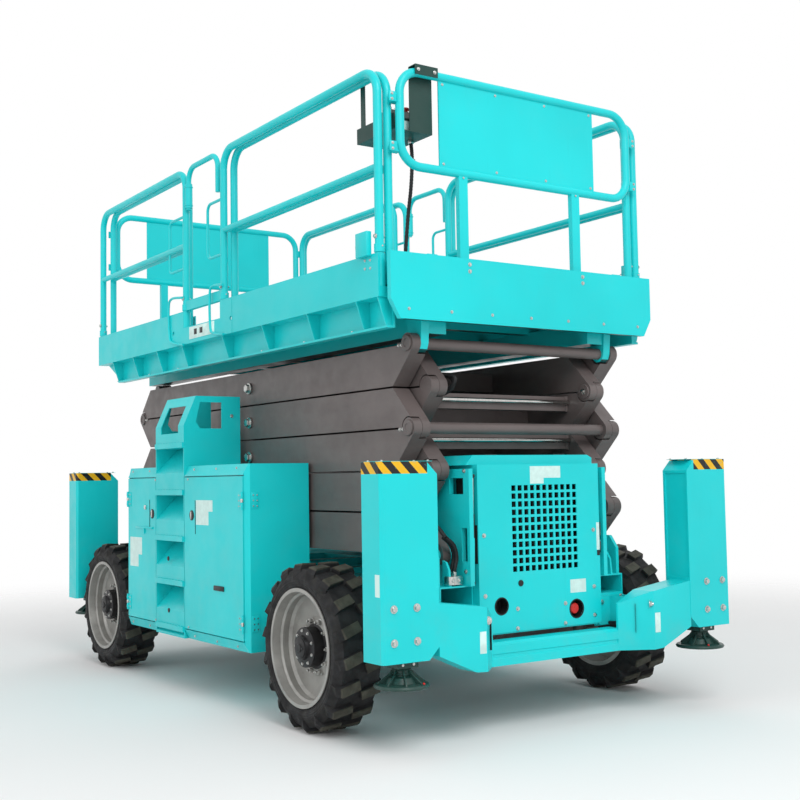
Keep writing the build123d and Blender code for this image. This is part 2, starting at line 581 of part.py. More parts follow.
# Lift cylinders: the barrel pivots on the lower arm, the rod's eye lies between the upper arm's ears
for name, raise_z in (("lower", 0), ("upper", 2 * PITCH)):
    foot = Vector(CYLINDER_FOOT[0], 0, CYLINDER_FOOT[1] + BASE_PIN_Z + raise_z)
    head = Vector(CYLINDER_HEAD[0], 0, CYLINDER_HEAD[1] + BASE_PIN_Z + raise_z)
    along = (head - foot).normalized()
    length = (head - foot).length
    with BuildPart() as barrel:
        bar(tuple(foot + along * 40), tuple(foot + along * (length - 260)), BARREL_R)
        bar(tuple(foot + along * (length - 330)), tuple(foot + along * (length - 255)), BARREL_R + 9)
        cross_bar(foot.X, (-80, 80), foot.Z, 50)
        cross_bar(foot.X, (-90, 90), foot.Z, EYE_PIN_R + BORE_PLAY, mode=Mode.SUBTRACT)
        bar(tuple(foot + along * 120), tuple(foot + along * (length - 200)), ROD_R + BORE_PLAY,
            mode=Mode.SUBTRACT)
    save(barrel.part, f"lift_barrel_{name}")
    with BuildPart() as rod:
        bar(tuple(foot + along * 140), tuple(head), ROD_R)
        cross_bar(head.X, (-ROD_EYE_HALF, ROD_EYE_HALF), head.Z, 48)
        cross_bar(head.X, (-60, 60), head.Z, EYE_PIN_R + BORE_PLAY, mode=Mode.SUBTRACT)
    save(rod.part, f"lift_rod_{name}")

# Main deck: floor, folded side beams with toe boards, corner posts, gussets, underframe and brackets
top_node_z = pin_height(LEVELS)
GATE_POSTS = (POST_X[1], POST_X[2])
side_section = [(TOE_Y, TOE_Z[0]), (TOE_Y, TOE_Z[1]), (TOE_Y - 10, TOE_Z[1]), (TOE_Y - 10, DECK_Z),
                (810, DECK_Z), (810, BEAM_FOOT_Z), (858, BEAM_FOOT_Z), (858, BEAM_FOOT_Z + 12),
                (822, BEAM_FOOT_Z + 12), (822, TOE_Z[0])]
gusset = [(TOE_Y - 1, TOE_Z[0] + 1), (821, TOE_Z[0] + 1), (821, BEAM_FOOT_Z + 11), (857, BEAM_FOOT_Z + 11)]
with BuildPart() as main_deck:
    block(DECK_X, (-811, 811), (DECK_Z - 10, DECK_Z))
    block((-620, -40), (-780, 780), (DECK_Z - 1, DECK_Z + 3))
    for side in (-1, 1):
        plate_yz([(side * y, z) for y, z in side_section], DECK_X)
        block((GATE_POSTS[0] + 10, GATE_POSTS[1] - 10), (side * 890, side * 910), (SILL_Z, TOE_Z[1] + 1),
              mode=Mode.SUBTRACT)
        for x in POST_X:
            bar((x, side * CORNER_POST_Y, TOE_Z[0]), (x, side * CORNER_POST_Y, TOE_Z[1]), CORNER_POST_R)
        for x in GUSSET_X:
            plate_yz([(side * y, z) for y, z in gusset], (x - 4, x + 4))
        tail = [(DECK_X[0] - 1, TOE_Z[0]), (DECK_X[0] + 290, BEAM_FOOT_Z - 1),
                (DECK_X[0] - 1, BEAM_FOOT_Z - 1)]
        plate_xz(tail, (side * 800, side * 870), mode=Mode.SUBTRACT)
        block((SPLIT_X, SPLIT_X + 5), (side * (TOE_Y - 3), side * (TOE_Y + 1)), (TOE_Z[0] - 1, TOE_Z[1] + 1),
              mode=Mode.SUBTRACT)
        for x in (-736, 116):
            cross_bar(x, (side * (TOE_Y - 12), side * (TOE_Y + 1)), 2238, 14, mode=Mode.SUBTRACT)
    for x in (-1800, -1300, -800, -300, 200, 700, 1200, 1700):
        block((x - 30, x + 30), (-811, 811), (2090, DECK_Z - 5))
    for y in both_sides(486, 598):
        block((-1900, 1730), y, (1984, 2100))
        block((-1910, -700), (y[0] + SHEET, y[1] - SHEET), (1970, 1984), mode=Mode.SUBTRACT)
    for y in both_sides(600, 648):
        bracket = [(PIN_FRONT_X - 90, 2095), (PIN_FRONT_X - 46, top_node_z),
                   (PIN_FRONT_X - 34, top_node_z - 31), (PIN_FRONT_X - 12, top_node_z - 45),
                   (PIN_FRONT_X + 12, top_node_z - 45), (PIN_FRONT_X + 34, top_node_z - 31),
                   (PIN_FRONT_X + 46, top_node_z), (PIN_FRONT_X + 60, 2095)]
        plate_xz(bracket, y)
        cross_bar(PIN_FRONT_X, (y[0] - 5, y[1] + 5), top_node_z, PIN_R + BORE_PLAY, mode=Mode.SUBTRACT)
save(main_deck.part, "main_deck")

# Side guard rails: two bent frames with a kick bar across the entry, grab handles and the gate sleeve
for hand, side in (("right", -1), ("left", 1)):
    rail_y = side * CORNER_POST_Y
    rail_plane = Plane.XZ.offset(-rail_y)
    with BuildPart() as rails:
        for low, high in ((POST_X[0], POST_X[1]), (POST_X[2], POST_X[3])):
            frame_line = [(low, TOE_Z[1]), (low, TOP_RAIL_Z), (high, TOP_RAIL_Z), (high, TOE_Z[1])]
            bent_tube(rail_plane, frame_line, RAIL_TUBE_R, RAIL_BEND_R)
            bar((low, rail_y, MID_RAIL_Z), (high, rail_y, MID_RAIL_Z), MID_TUBE_R)
        block(GATE_POSTS, (rail_y - 15, rail_y + 15), (2370, 2432))
        handles = ((POST_X[1], -848, 2655, 3001), (POST_X[2], -252, 2657, 3003))
        for post, reach, low, high in handles:
            bent_tube(rail_plane, [(post, low), (reach, low), (reach, high), (post, high)], HANDLE_R, 45)
        bar((SLEEVE_X, rail_y, SLEEVE_Z[0]), (SLEEVE_X, rail_y, SLEEVE_Z[1]), 24)
        bar((SLEEVE_X, rail_y, SLEEVE_Z[0] - 1), (SLEEVE_X, rail_y, SLEEVE_Z[1] + 1), GATE_TUBE_R + BORE_PLAY,
            mode=Mode.SUBTRACT)
    save(rails.part, f"side_rails_{hand}")
    with BuildPart() as gate:
        gate_line = [(SLEEVE_X, SLEEVE_Z[0] - 12), (SLEEVE_X, TOP_RAIL_Z + 4), (GATE_FREE_X, TOP_RAIL_Z + 4),
                     (GATE_FREE_X, GATE_FREE_Z)]
        bent_tube(rail_plane, gate_line, GATE_TUBE_R, 90)
    save(gate.part, f"gate_{hand}")

# Extension decks: floor, folded end panel, inner toe boards, and their own nested rails
EXTENSIONS = {
    "front": {"floor": (-30, 1798), "panel": (1797, 1827), "half": 885, "shoulder": 2130, "foot": 2035,
              "legs": (10, 1722), "frame": 1772},
    "rear": {"floor": (-632, -2110), "panel": (-2109, -2139), "half": 845, "shoulder": 2214, "foot": 2206,
             "legs": (-658, -2050), "frame": -2084},
}
for end, spans in EXTENSIONS.items():
    outward = 1 if end == "front" else -1
    with BuildPart() as ext_deck:
        block(spans["floor"], (-EXT_DECK_HALF, EXT_DECK_HALF), (EXT_DECK_Z, EXT_DECK_Z + 10))
        for y in both_sides(EXT_TOE_Y - SHEET, EXT_TOE_Y):
            block(spans["floor"], y, (EXT_DECK_Z + 9, 2350))
        half, shoulder_z, foot_z = spans["half"], spans["shoulder"], spans["foot"]
        panel = [(-half, TOE_Z[1]), (-half, shoulder_z), (55 - half, foot_z), (half - 55, foot_z),
                 (half, shoulder_z), (half, TOE_Z[1])]
        hollow = [(SHEET - half, TOE_Z[1] - SHEET), (SHEET - half, shoulder_z + 2),
                  (58 - half, foot_z + SHEET), (half - 58, foot_z + SHEET),
                  (half - SHEET, shoulder_z + 2), (half - SHEET, TOE_Z[1] - SHEET)]
        back, face = spans["panel"]
        plate_yz(panel, (back, face))
        plate_yz(hollow, (back - outward, face - outward * SHEET), mode=Mode.SUBTRACT)
        block((spans["floor"][1] - outward * 30, face - outward * 2), (-EXT_TOE_Y, EXT_TOE_Y),
              (EXT_DECK_Z, EXT_DECK_Z + 10))
    save(ext_deck.part, f"{end}_extension_deck")
    with BuildPart() as ext_rails:
        frame_x = spans["frame"]
        for side in (-1, 1):
            leg_plane = Plane.XZ.offset(-side * EXT_RAIL_Y)
            low, high = sorted(spans["legs"])
            frame_line = [(low, EXT_DECK_Z + 10), (low, TOP_RAIL_Z), (high, TOP_RAIL_Z),
                          (high, EXT_DECK_Z + 10)]
            bent_tube(leg_plane, frame_line, RAIL_TUBE_R, RAIL_BEND_R)
            bar((low, side * EXT_RAIL_Y, MID_RAIL_Z), (high, side * EXT_RAIL_Y, MID_RAIL_Z), MID_TUBE_R)
            for z in (3150, 2900):
                block((spans["legs"][1] + outward * 12, frame_x + outward * 4),
                      (side * 776, side * (EXT_RAIL_Y + 4)), (z - 24, z + 24))
        end_line = [(-END_FRAME_HALF, END_FRAME_LOW), (END_FRAME_HALF, END_FRAME_LOW),
                    (END_FRAME_HALF, TOP_RAIL_Z), (-END_FRAME_HALF, TOP_RAIL_Z)]
        bent_tube(Plane.YZ.offset(frame_x), end_line, RAIL_TUBE_R, RAIL_BEND_R, closed=True)
        for y in END_POST_Y:
            block((frame_x - 15, frame_x + 15), (y - END_POST_HALF, y + END_POST_HALF),
                  (EXT_DECK_Z + 10, END_FRAME_LOW))
        block((frame_x - 4, frame_x + 4), INFILL_Y, (END_FRAME_LOW, TOP_RAIL_Z))
    save(ext_rails.part, f"{end}_extension_rails")

# Platform control box: a bent tray on a hook and a strap, with the controller standing in it
with BuildPart() as control_box:
    block((1400, 1745), (-796, -560), (3000, 3004))
    block((1400, 1745), (-796, -792), (3003, 3080))
    block((1400, 1745), (-564, -560), (3003, 3080))
    block((1400, 1404), (-796, -560), (3003, 3080))
    hook = [(1741, 3003), (1741, 3331), (1803, 3331), (1803, 3280), (1799, 3280), (1799, 3327),
            (1745, 3327), (1745, 3003)]
    plate_xz(hook, (-700, -560))
    strap = [(-792, 3003), (-792, 3330), (-843, 3330), (-843, 3326), (-796, 3326), (-796, 3003)]
    plate_yz(strap, (1440, 1480))
    controller = [(1490, 3003), (1700, 3003), (1700, 3080), (1660, 3128), (1520, 3128), (1490, 3080)]
    plate_xz(controller, (-760, -600))
save(control_box.part, "control_box")
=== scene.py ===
"""Rough-terrain scissor lift: finishes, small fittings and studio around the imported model."""

import math

import bmesh
import bpy
from bpy.props import FloatProperty, FloatVectorProperty, IntProperty, PointerProperty
from mathutils import Matrix, Vector


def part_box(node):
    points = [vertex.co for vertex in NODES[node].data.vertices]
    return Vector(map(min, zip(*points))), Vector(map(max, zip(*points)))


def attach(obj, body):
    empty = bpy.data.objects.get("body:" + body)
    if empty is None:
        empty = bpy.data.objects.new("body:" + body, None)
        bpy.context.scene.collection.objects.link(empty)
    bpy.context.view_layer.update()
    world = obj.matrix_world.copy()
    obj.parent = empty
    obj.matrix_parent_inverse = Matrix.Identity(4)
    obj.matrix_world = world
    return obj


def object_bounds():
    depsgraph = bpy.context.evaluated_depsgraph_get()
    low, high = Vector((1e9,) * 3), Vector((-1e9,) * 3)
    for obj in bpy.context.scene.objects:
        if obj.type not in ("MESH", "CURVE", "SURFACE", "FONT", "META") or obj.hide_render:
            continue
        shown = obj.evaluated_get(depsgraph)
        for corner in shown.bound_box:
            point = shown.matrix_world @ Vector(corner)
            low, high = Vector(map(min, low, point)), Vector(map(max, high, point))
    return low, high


bl_info = {
    "name": "Rough-terrain scissor lift",
    "version": (1, 0, 0),
    "blender": (4, 5, 0),
    "location": "View3D > Sidebar > Scissor Lift",
    "description": "Finishes, small fittings and studio for a stowed rough-terrain scissor lift",
    "category": "Object",
}

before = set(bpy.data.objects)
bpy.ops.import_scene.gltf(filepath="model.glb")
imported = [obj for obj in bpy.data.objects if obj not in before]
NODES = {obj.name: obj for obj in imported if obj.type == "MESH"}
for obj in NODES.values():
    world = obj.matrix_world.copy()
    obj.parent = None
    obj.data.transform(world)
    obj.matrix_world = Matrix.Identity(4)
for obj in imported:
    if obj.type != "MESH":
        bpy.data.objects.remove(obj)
CAD_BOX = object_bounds()

# Node groups by finish.
DECK_NODES = ("main_deck", "front_extension_deck", "rear_extension_deck")
TEAL_NODES = (
    "chassis_frame", "module_cover", "pod_left", "pod_right", "pod_door_front_left",
    "pod_door_front_right", "pod_door_rear_left", "pod_door_rear_right", "ladder_left", "ladder_right",
    "side_rails_left", "side_rails_right", "gate_left", "gate_right", "front_extension_rails",
    "rear_extension_rails", "tower_right", "tower_left", *DECK_NODES,
)
OUTRIGGER_NODES = ("front_outrigger", "rear_outrigger")
ARM_NODES = tuple(f"{side}_arm_{n}" for side in ("outer", "inner") for n in range(1, 6))
AXLE_NODES = ("front_axle", "rear_axle", "knuckle_left", "knuckle_right", "tie_rod")
CORNERS = ("front_left", "front_right", "rear_left", "rear_right")
JACK_NODES = tuple(f"jack_leg_{corner}" for corner in CORNERS)
TYRE_NODES = tuple(f"tyre_{corner}" for corner in CORNERS)
RIM_NODES = tuple(f"rim_{corner}" for corner in CORNERS)
BARREL_NODES = ("lift_barrel_lower", "lift_barrel_upper")
ROD_NODES = ("lift_rod_lower", "lift_rod_upper")
HANDS = (("right", -1), ("left", 1))

# Directions of the model.
AHEAD = Vector((1, 0, 0))
OUT = Vector((0, 1, 0))
UP = Vector((0, 0, 1))

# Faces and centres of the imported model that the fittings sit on, in metres.
WHEEL_Y = 0.992
FRONT_AXLE_X = 1.301
REAR_AXLE_X = -1.455
AXLE_Z = 0.420
STUD_CIRCLE = 0.130
HINGE_Y = 1.124
DOOR_FACE_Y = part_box("pod_door_front_left")[1].y - 0.011
LADDER_FACE_Y = 1.120
POD_FRONT_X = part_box("pod_left")[1].x
POD_REAR_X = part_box("pod_left")[0].x
COVER_FACE_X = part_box("module_cover")[1].x
COVER_SIDE_Y = 0.410
HOUSING_FACE_X = 2.106
HOUSING_TOP_Z = 1.335
BRACKET_FACE_X = 1.8265
TOE_FACE_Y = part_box("main_deck")[1].y
RAIL_Y = 0.878
ARM_FACE_Y = 0.700
ARM_INNER_Y = 0.489
PIN_FRONT_X = 1.688
PIN_CENTRE_X = -0.0387
PITCH_Z = 0.213
BASE_PIN_Z = 0.870
LEVELS = 5
ARM_SLOPE = 0.0615
SHAFT_X = 1.510
LATCH_Z = 1.060
STRUT_TOP = Vector((1.850, -0.430, 1.264))
STRUT_FOOT = Vector((1.850, -0.439, 0.733))
HOUSING_SIDE_Y = 1.1465
BAND_INNER_Y = 0.888

# Figures of the finishes and of the small forms.
DUST = (0.30, 0.30, 0.27, 1)
STRIPE_PITCH = 0.098
RING_FREQUENCY = 520
SHARP_DEGREES = 38
TYRE_ROUND = 2.2
WIRE_SIDES = 8

# Lines of the tube loops that flank each entry, as (x, z).
ENTRY_LOOPS = (
    ((-0.573, 2.456), (-0.750, 2.469), (-0.796, 2.412),
     (-0.785, 2.219), (-0.724, 2.174), (-0.565, 2.146)),
    ((0.020, 2.455), (-0.110, 2.466), (-0.158, 2.423),
     (-0.153, 2.212), (-0.104, 2.171), (0.025, 2.149)),
)

# Blank labels as spans along the axes, by node.
COVER_SKIN = ("X", 1.8615, 1.87)
DOOR_SKIN = ("Y", -1.125, -1.118)
LABELS = {
    "module_cover": (
        (("Y", 0.193, 0.303), ("Z", 0.644, 0.713), COVER_SKIN),
        (("Y", -0.066, 0.026), ("Z", 1.219, 1.309), COVER_SKIN),
        (("Y", 0.026, 0.142), ("Z", 1.248, 1.309), COVER_SKIN),
        (("Y", 0.388, 0.4085), ("Z", 0.86, 1.005), COVER_SKIN),
    ),
    "pod_door_front_right": (
        (("X", 0.078, 0.305), ("Z", 1.085, 1.150), DOOR_SKIN),
        (("X", 0.078, 0.250), ("Z", 1.006, 1.085), DOOR_SKIN),
    ),
    "pod_door_rear_right": (
        (("X", -0.955, -0.755), ("Z", 0.795, 0.905), DOOR_SKIN),
        (("X", -0.955, -0.815), ("Z", 0.716, 0.795), DOOR_SKIN),
    ),
}


# ---------------------------------------------------------------- properties


def tint(name, description, *colour):
    """A colour setting."""
    return FloatVectorProperty(name=name, description=description, subtype="COLOR", size=4, min=0, max=1,
                               default=(*colour, 1))


def measure(name, description, default, low, high, unit="LENGTH"):
    """A setting with a unit and two limits."""
    return FloatProperty(name=name, description=description, unit=unit, min=low, max=high,
                         default=default)


def angle(name, description, degrees):
    """An angle setting, given in degrees."""
    return FloatProperty(name=name, description=description, subtype="ANGLE",
                         default=math.radians(degrees))


class LiftFinishSettings(bpy.types.PropertyGroup):
    teal: tint("Teal paint", "Base colour of the chassis, platform and guard rails", 0.006, 0.64, 0.665)
    arm_grey: tint("Arm grey", "Base colour of the scissor arms and cylinder barrels", 0.118, 0.096, 0.093)
    rubber: tint("Rubber", "Colour of the tyre side walls", 0.012, 0.012, 0.013)
    tread: tint("Tread face", "Colour of the dusty faces of the tread blocks", 0.062, 0.060, 0.046)
    tread_radius: measure("Tread face radius", "Distance from the wheel's axis where the block faces start",
                          0.411, 0.1, 1)
    dark_green: tint("Dark green", "Colour of the foot pads and the control box", 0.012, 0.050, 0.042)
    rim_silver: tint("Rim silver", "Colour of the wheel rims", 0.36, 0.355, 0.335)
    steel: tint("Bright steel", "Colour of pins, chrome rods and plated fasteners", 0.60, 0.60, 0.58)
    dark_steel: tint("Dark steel", "Colour of engine, radiator and other dark castings", 0.026, 0.026, 0.028)
    black: tint("Black plastic", "Colour of hoses, handles and switches", 0.010, 0.010, 0.011)
    label: tint("Blank label", "Colour of the blank labels and plates", 0.66, 0.88, 0.84)
    red: tint("Stop red", "Colour of the stop buttons", 0.62, 0.02, 0.015)
    yellow: tint("Hazard yellow", "Colour of the hazard bands, between black stripes", 0.84, 0.47, 0.012)
    hazard_height: measure("Hazard band height", "Height of the striped bands on the outrigger housings",
                           0.056, 0.01, 0.3)
    edge_round: measure("Edge rounding", "Width of the small rounding on the folded and sawn edges",
                        0.0022, 0, 0.01)


class LiftFittingSettings(bpy.types.PropertyGroup):
    bolt_radius: measure("Bolt head radius", "Corner radius of the hexagon heads on the outrigger housings",
                         0.014, 0.003, 0.05)
    hose_radius: measure("Hose radius", "Outer radius of the hydraulic hoses", 0.010, 0.003, 0.03)
    tread_pitch: measure("Deck bar pitch", "Spacing of the raised bars of the deck's tread plate",
                         0.056, 0.02, 0.2)
    fin_count: IntProperty(name="Radiator fins", description="Number of upright fins behind the grille",
                           min=4, max=80, default=34)


class LiftStudioSettings(bpy.types.PropertyGroup):
    eye: FloatVectorProperty(name="Camera place", description="Where the camera stands",
                             subtype="TRANSLATION", unit="LENGTH", size=3,
                             default=(6.5653, -4.0606, 1.2577))
    yaw: angle("Camera yaw", "Turn of the view about the vertical", 55.8176)
    pitch: angle("Camera pitch", "Lift of the view above the horizon", 3.7727)
    roll: angle("Camera roll", "Roll of the view about its own axis", -0.9688)
    lens: measure("Lens", "Focal length on a 36 mm sensor", 53.46, 10, 200, "CAMERA")
    floor_radius: measure("Floor radius", "Radius of the round studio floor", 9, 5, 200)
    floor_clear: measure("Floor solid radius", "Radius inside which the floor is fully solid", 3.6, 1, 200)
    sky_level: FloatProperty(name="Sky level", description="Strength of the even white surroundings",
                             min=0, max=3, default=0.74)
    key_power: measure("Key light", "Power of the large soft light in front", 330, 0, 20000, "POWER")
    fill_power: measure("Fill light", "Power of the soft light on the shaded side", 95, 0, 20000, "POWER")


# ---------------------------------------------------------------- materials


class Shade:
    """A node material and short calls that grow its node tree."""

    def __init__(self, name, roughness=0.5, metallic=0.0, specular=0.5, coat=0.0):
        self.material = bpy.data.materials.new(name)
        self.material.use_nodes = True
        self.tree = self.material.node_tree
        self.shader = self.tree.nodes["Principled BSDF"]
        for key, value in (("Roughness", roughness), ("Metallic", metallic),
                           ("Specular IOR Level", specular), ("Coat Weight", coat)):
            self.shader.inputs[key].default_value = value
        self.place = self.node("ShaderNodeTexCoord").outputs["Object"]

    def node(self, kind, **settings):
        made = self.tree.nodes.new(kind)
        for key, value in settings.items():
            setattr(made, key, value)
        return made

    def link(self, source, target):
        self.tree.links.new(source, target)

    def feed(self, socket, value):
        """Links a socket, or sets a plain value, on an input."""
        if isinstance(value, bpy.types.NodeSocket):
            self.link(value, socket)
        else:
            socket.default_value = value

    def noise(self, scale, detail=4.0, roughness=0.55, stretch=(1, 1, 1)):
        scaled = self.node("ShaderNodeMapping")
        scaled.inputs["Scale"].default_value = stretch
        self.link(self.place, scaled.inputs["Vector"])
        made = self.node("ShaderNodeTexNoise")
        for key, value in (("Scale", scale), ("Detail", detail), ("Roughness", roughness)):
            made.inputs[key].default_value = value
        self.link(scaled.outputs["Vector"], made.inputs["Vector"])
        return made.outputs["Fac"]

    def ramp(self, factor, low, high, low_value=0.0, high_value=1.0):
        made = self.node("ShaderNodeMapRange", interpolation_type="SMOOTHSTEP")
        for key, value in (("From Min", low), ("From Max", high),
                           ("To Min", low_value), ("To Max", high_value)):
            made.inputs[key].default_value = value
        self.link(factor, made.inputs["Value"])
        return made.outputs["Result"]

    def mix(self, factor, first, second):
        made = self.node("ShaderNodeMix", data_type="RGBA")
        for key, value in (("Factor", factor), ("A", first), ("B", second)):
            self.feed(made.inputs[key], value)
        return made.outputs["Result"]

    def maths(self, operation, first, second=0.0):
        made = self.node("ShaderNodeMath", operation=operation)
        self.feed(made.inputs[0], first)
        self.feed(made.inputs[1], second)
        return made.outputs["Value"]

    def split(self, source, letter):
        """One coordinate of a vector."""
        parts = self.node("ShaderNodeSeparateXYZ")
        self.link(source, parts.inputs["Vector"])
        return parts.outputs[letter]

    def axis(self, letter):
        return self.split(self.place, letter)

    def both(self, *masks):
        """1 where every mask is 1."""
        product = masks[0]
        for mask in masks[1:]:
            product = self.maths("MULTIPLY", product, mask)
        return product

    def within(self, letter, low, high):
        """1 where a coordinate lies between two values."""
        return self.both(self.maths("GREATER_THAN", self.axis(letter), low),
                         self.maths("LESS_THAN", self.axis(letter), high))

    def patch(self, *spans):
        """1 inside a box given as (axis, low, high) spans."""
        return self.both(*(self.within(*limits) for limits in spans))

    def distance(self, centre, keep=(1, 1, 1)):
        """Distance from a point, measured only along the kept axes."""
        offset = self.place
        for operation, value in (("SUBTRACT", centre), ("MULTIPLY", keep)):
            step = self.node("ShaderNodeVectorMath", operation=operation)
            self.link(offset, step.inputs[0])
            step.inputs[1].default_value = value
            offset = step.outputs["Vector"]
        length = self.node("ShaderNodeVectorMath", operation="LENGTH")
        self.link(offset, length.inputs[0])
        return length.outputs["Value"]

    def colour(self, source):
        self.feed(self.shader.inputs["Base Color"], source)

    def drift(self, colour, scale, detail, low, high, darker, lighter, roughness=0.55,
              stretch=(1, 1, 1)):
        """A colour that wanders between a darker and a lighter shade of itself."""
        return self.mix(self.ramp(self.noise(scale, detail, roughness, stretch), low, high),
                        scaled_colour(colour, darker), scaled_colour(colour, lighter))

    def rough(self, scale, detail, low, high, smoothest, roughest):
        self.link(self.ramp(self.noise(scale, detail), low, high, smoothest, roughest),
                  self.shader.inputs["Roughness"])

    def bump(self, height, distance, strength=1.0):
        made = self.node("ShaderNodeBump")
        made.inputs["Strength"].default_value = strength
        made.inputs["Distance"].default_value = distance
        self.link(height, made.inputs["Height"])
        self.link(made.outputs["Normal"], self.shader.inputs["Normal"])


def scaled_colour(colour, factor):
    return (*(min(1.0, channel * factor) for channel in colour[:3]), 1)


def painted(name, colour, roughness=0.34, dust_amount=0.07, over=None):
    """Sprayed paint with thin dust, more of it low down; over may add to its colour."""
    shade = Shade(name, roughness=roughness, specular=0.35, coat=0.05)
    base = shade.drift(colour, 0.9, 3, 0.3, 0.7, 0.92, 1.06)
    patches = shade.ramp(shade.noise(5.5, 6, 0.62), 0.45, 0.78, 0.0, dust_amount)
    low = shade.ramp(shade.axis("Z"), 1.1, 0.35, 0.4, 1.6)
    base = shade.mix(shade.both(patches, low), base, DUST)
    streaks = shade.ramp(shade.noise(7, 5, 0.6, (6, 6, 0.5)), 0.58, 0.8, 0.0, 0.10)
    base = shade.mix(streaks, base, scaled_colour(colour, 0.62))
    shade.colour(over(shade, base) if over else base)
    shade.rough(9, 5, 0.25, 0.75, roughness - 0.06, roughness + 0.12)
    shade.bump(shade.noise(420, 2, 0.4), 0.0006, 0.22)
    return shade.material


def labels_over(label, patches):
    """Flat blank labels, each given as spans along the axes."""
    def over(shade, base):
        faded = shade.mix(shade.ramp(shade.noise(30, 5), 0.35, 0.7), scaled_colour(label, 0.9), label)
        for spans in patches:
            base = shade.mix(shade.patch(*spans), base, faded)
        return base
    return over


def stripes_over(look):
    """A slanting yellow and black band round the housings' tops, and a blank label on each."""
    def over(shade, base):
        reach = shade.maths("ABSOLUTE", shade.axis("Y"))
        sticker = shade.both(shade.maths("GREATER_THAN", reach, HOUSING_SIDE_Y),
                             shade.patch(("X", 2.050, 2.088), ("Z", 0.728, 0.828)))
        base = shade.mix(sticker, base, look.label)
        slant = shade.maths("ADD", shade.maths("ADD", shade.axis("X"), shade.axis("Y")), shade.axis("Z"))
        phase = shade.maths("FRACT", shade.maths("MULTIPLY", slant, 1 / STRIPE_PITCH))
        stripes = shade.mix(shade.maths("GREATER_THAN", phase, 0.5), look.yellow, look.black)
        chips = shade.ramp(shade.noise(60, 5, 0.65), 0.62, 0.66)
        stripes = shade.mix(shade.maths("MULTIPLY", chips, 0.35), stripes, scaled_colour(look.teal, 0.6))
        outboard = shade.maths("GREATER_THAN", reach, BAND_INNER_Y)
        near_top = shade.within("Z", HOUSING_TOP_Z - look.hazard_height, HOUSING_TOP_Z - 0.0005)
        return shade.mix(shade.both(outboard, near_top), base, stripes)
    return over


def underside_shade_over(underside):
    """Painted shade: darkens the faces that look downward, between the deck's folded side beams."""
    def over(shade, base):
        facing = shade.split(shade.node("ShaderNodeNewGeometry").outputs["Normal"], "Z")
        # Painted shade under the deck: faces that look downward take the dark colour.
        below = shade.both(shade.ramp(facing, -0.5, -0.9), shade.within("Y", -0.805, 0.805))
        return shade.mix(below, base, underside)
    return over


def arm_paint(name, colour):
    """Grey enamel on rolled tube: drift along the arm and greasy smudges at the joints."""
    shade = Shade(name, roughness=0.42, specular=0.5, coat=0.05)
    base = shade.drift(colour, 1.6, 4, 0.3, 0.72, 0.86, 1.14, 0.6, (1, 1, 3))
    smudge = shade.ramp(shade.noise(7, 6, 0.65), 0.55, 0.8, 0, 0.4)
    shade.colour(shade.mix(smudge, base, scaled_colour(colour, 0.5)))
    shade.rough(12, 5, 0.25, 0.75, 0.34, 0.55)
    shade.bump(shade.noise(260, 3, 0.5), 0.0008, 0.35)
    return shade.material


def cast_metal(name, colour, roughness=0.55, metallic=0.2):
    """Rough castings: blotched dark metal."""
    shade = Shade(name, roughness=roughness, metallic=metallic)
    shade.colour(shade.drift(colour, 6, 6, 0.3, 0.75, 0.7, 1.5, 0.6))
    shade.rough(18, 5, 0.3, 0.7, roughness - 0.12, roughness + 0.15)
    shade.bump(shade.noise(180, 4, 0.6), 0.001, 0.5)
    return shade.material


def plated_metal(name, colour, roughness=0.24):
    """Zinc plate and chrome: fine streaks and a little dull bloom."""
    shade = Shade(name, roughness=roughness, metallic=1.0)
    shade.colour(shade.drift(colour, 40, 3, 0.3, 0.75, 0.8, 1.15, 0.5, (1, 8, 1)))
    shade.rough(24, 5, 0.3, 0.75, roughness - 0.08, roughness + 0.16)
    shade.bump(shade.noise(300, 2), 0.0004, 0.3)
    return shade.material


def moulded(name, colour, roughness=0.5, grain=320):
    """Moulded plastic, vinyl and rubber: fine grain and faint mottling."""
    shade = Shade(name, roughness=roughness, specular=0.4)
    shade.colour(shade.drift(colour, 16, 5, 0.3, 0.7, 0.86, 1.12))
    shade.rough(40, 4, 0.3, 0.7, roughness - 0.07, roughness + 0.1)
    shade.bump(shade.noise(grain, 3, 0.5), 0.0006, 0.3)
    return shade.material


def tyre_rubber(name, look, centre):
    """Black side walls with moulded rings, dusty faces on the tread blocks."""
    shade = Shade(name, roughness=0.75, specular=0.3)
    radius = shade.distance(centre, (1, 0, 1))
    wall = shade.drift(look.rubber, 9, 5, 0.3, 0.7, 0.8, 1.9)
    faces = shade.ramp(radius, look.tread_radius - 0.004, look.tread_radius + 0.001)
    dusty = shade.drift(look.tread, 14, 6, 0.35, 0.7, 0.7, 1.35)
    grooves = shade.ramp(radius, 0.394, 0.388, 0, 0.35)
    soiled = shade.ramp(shade.noise(20, 6, 0.65), 0.4, 0.7)
    wall = shade.mix(shade.both(grooves, soiled), wall, scaled_colour(look.tread, 0.5))
    shade.colour(shade.mix(faces, wall, dusty))
    shade.rough(26, 4, 0.3, 0.7, 0.6, 0.88)
    waves = shade.maths("SINE", shade.maths("MULTIPLY", radius, RING_FREQUENCY))
    rings = shade.both(waves, shade.ramp(radius, 0.352, 0.345))
    shade.bump(shade.maths("ADD", rings, shade.noise(190, 4, 0.6)), 0.0012, 0.5)
    return shade.material


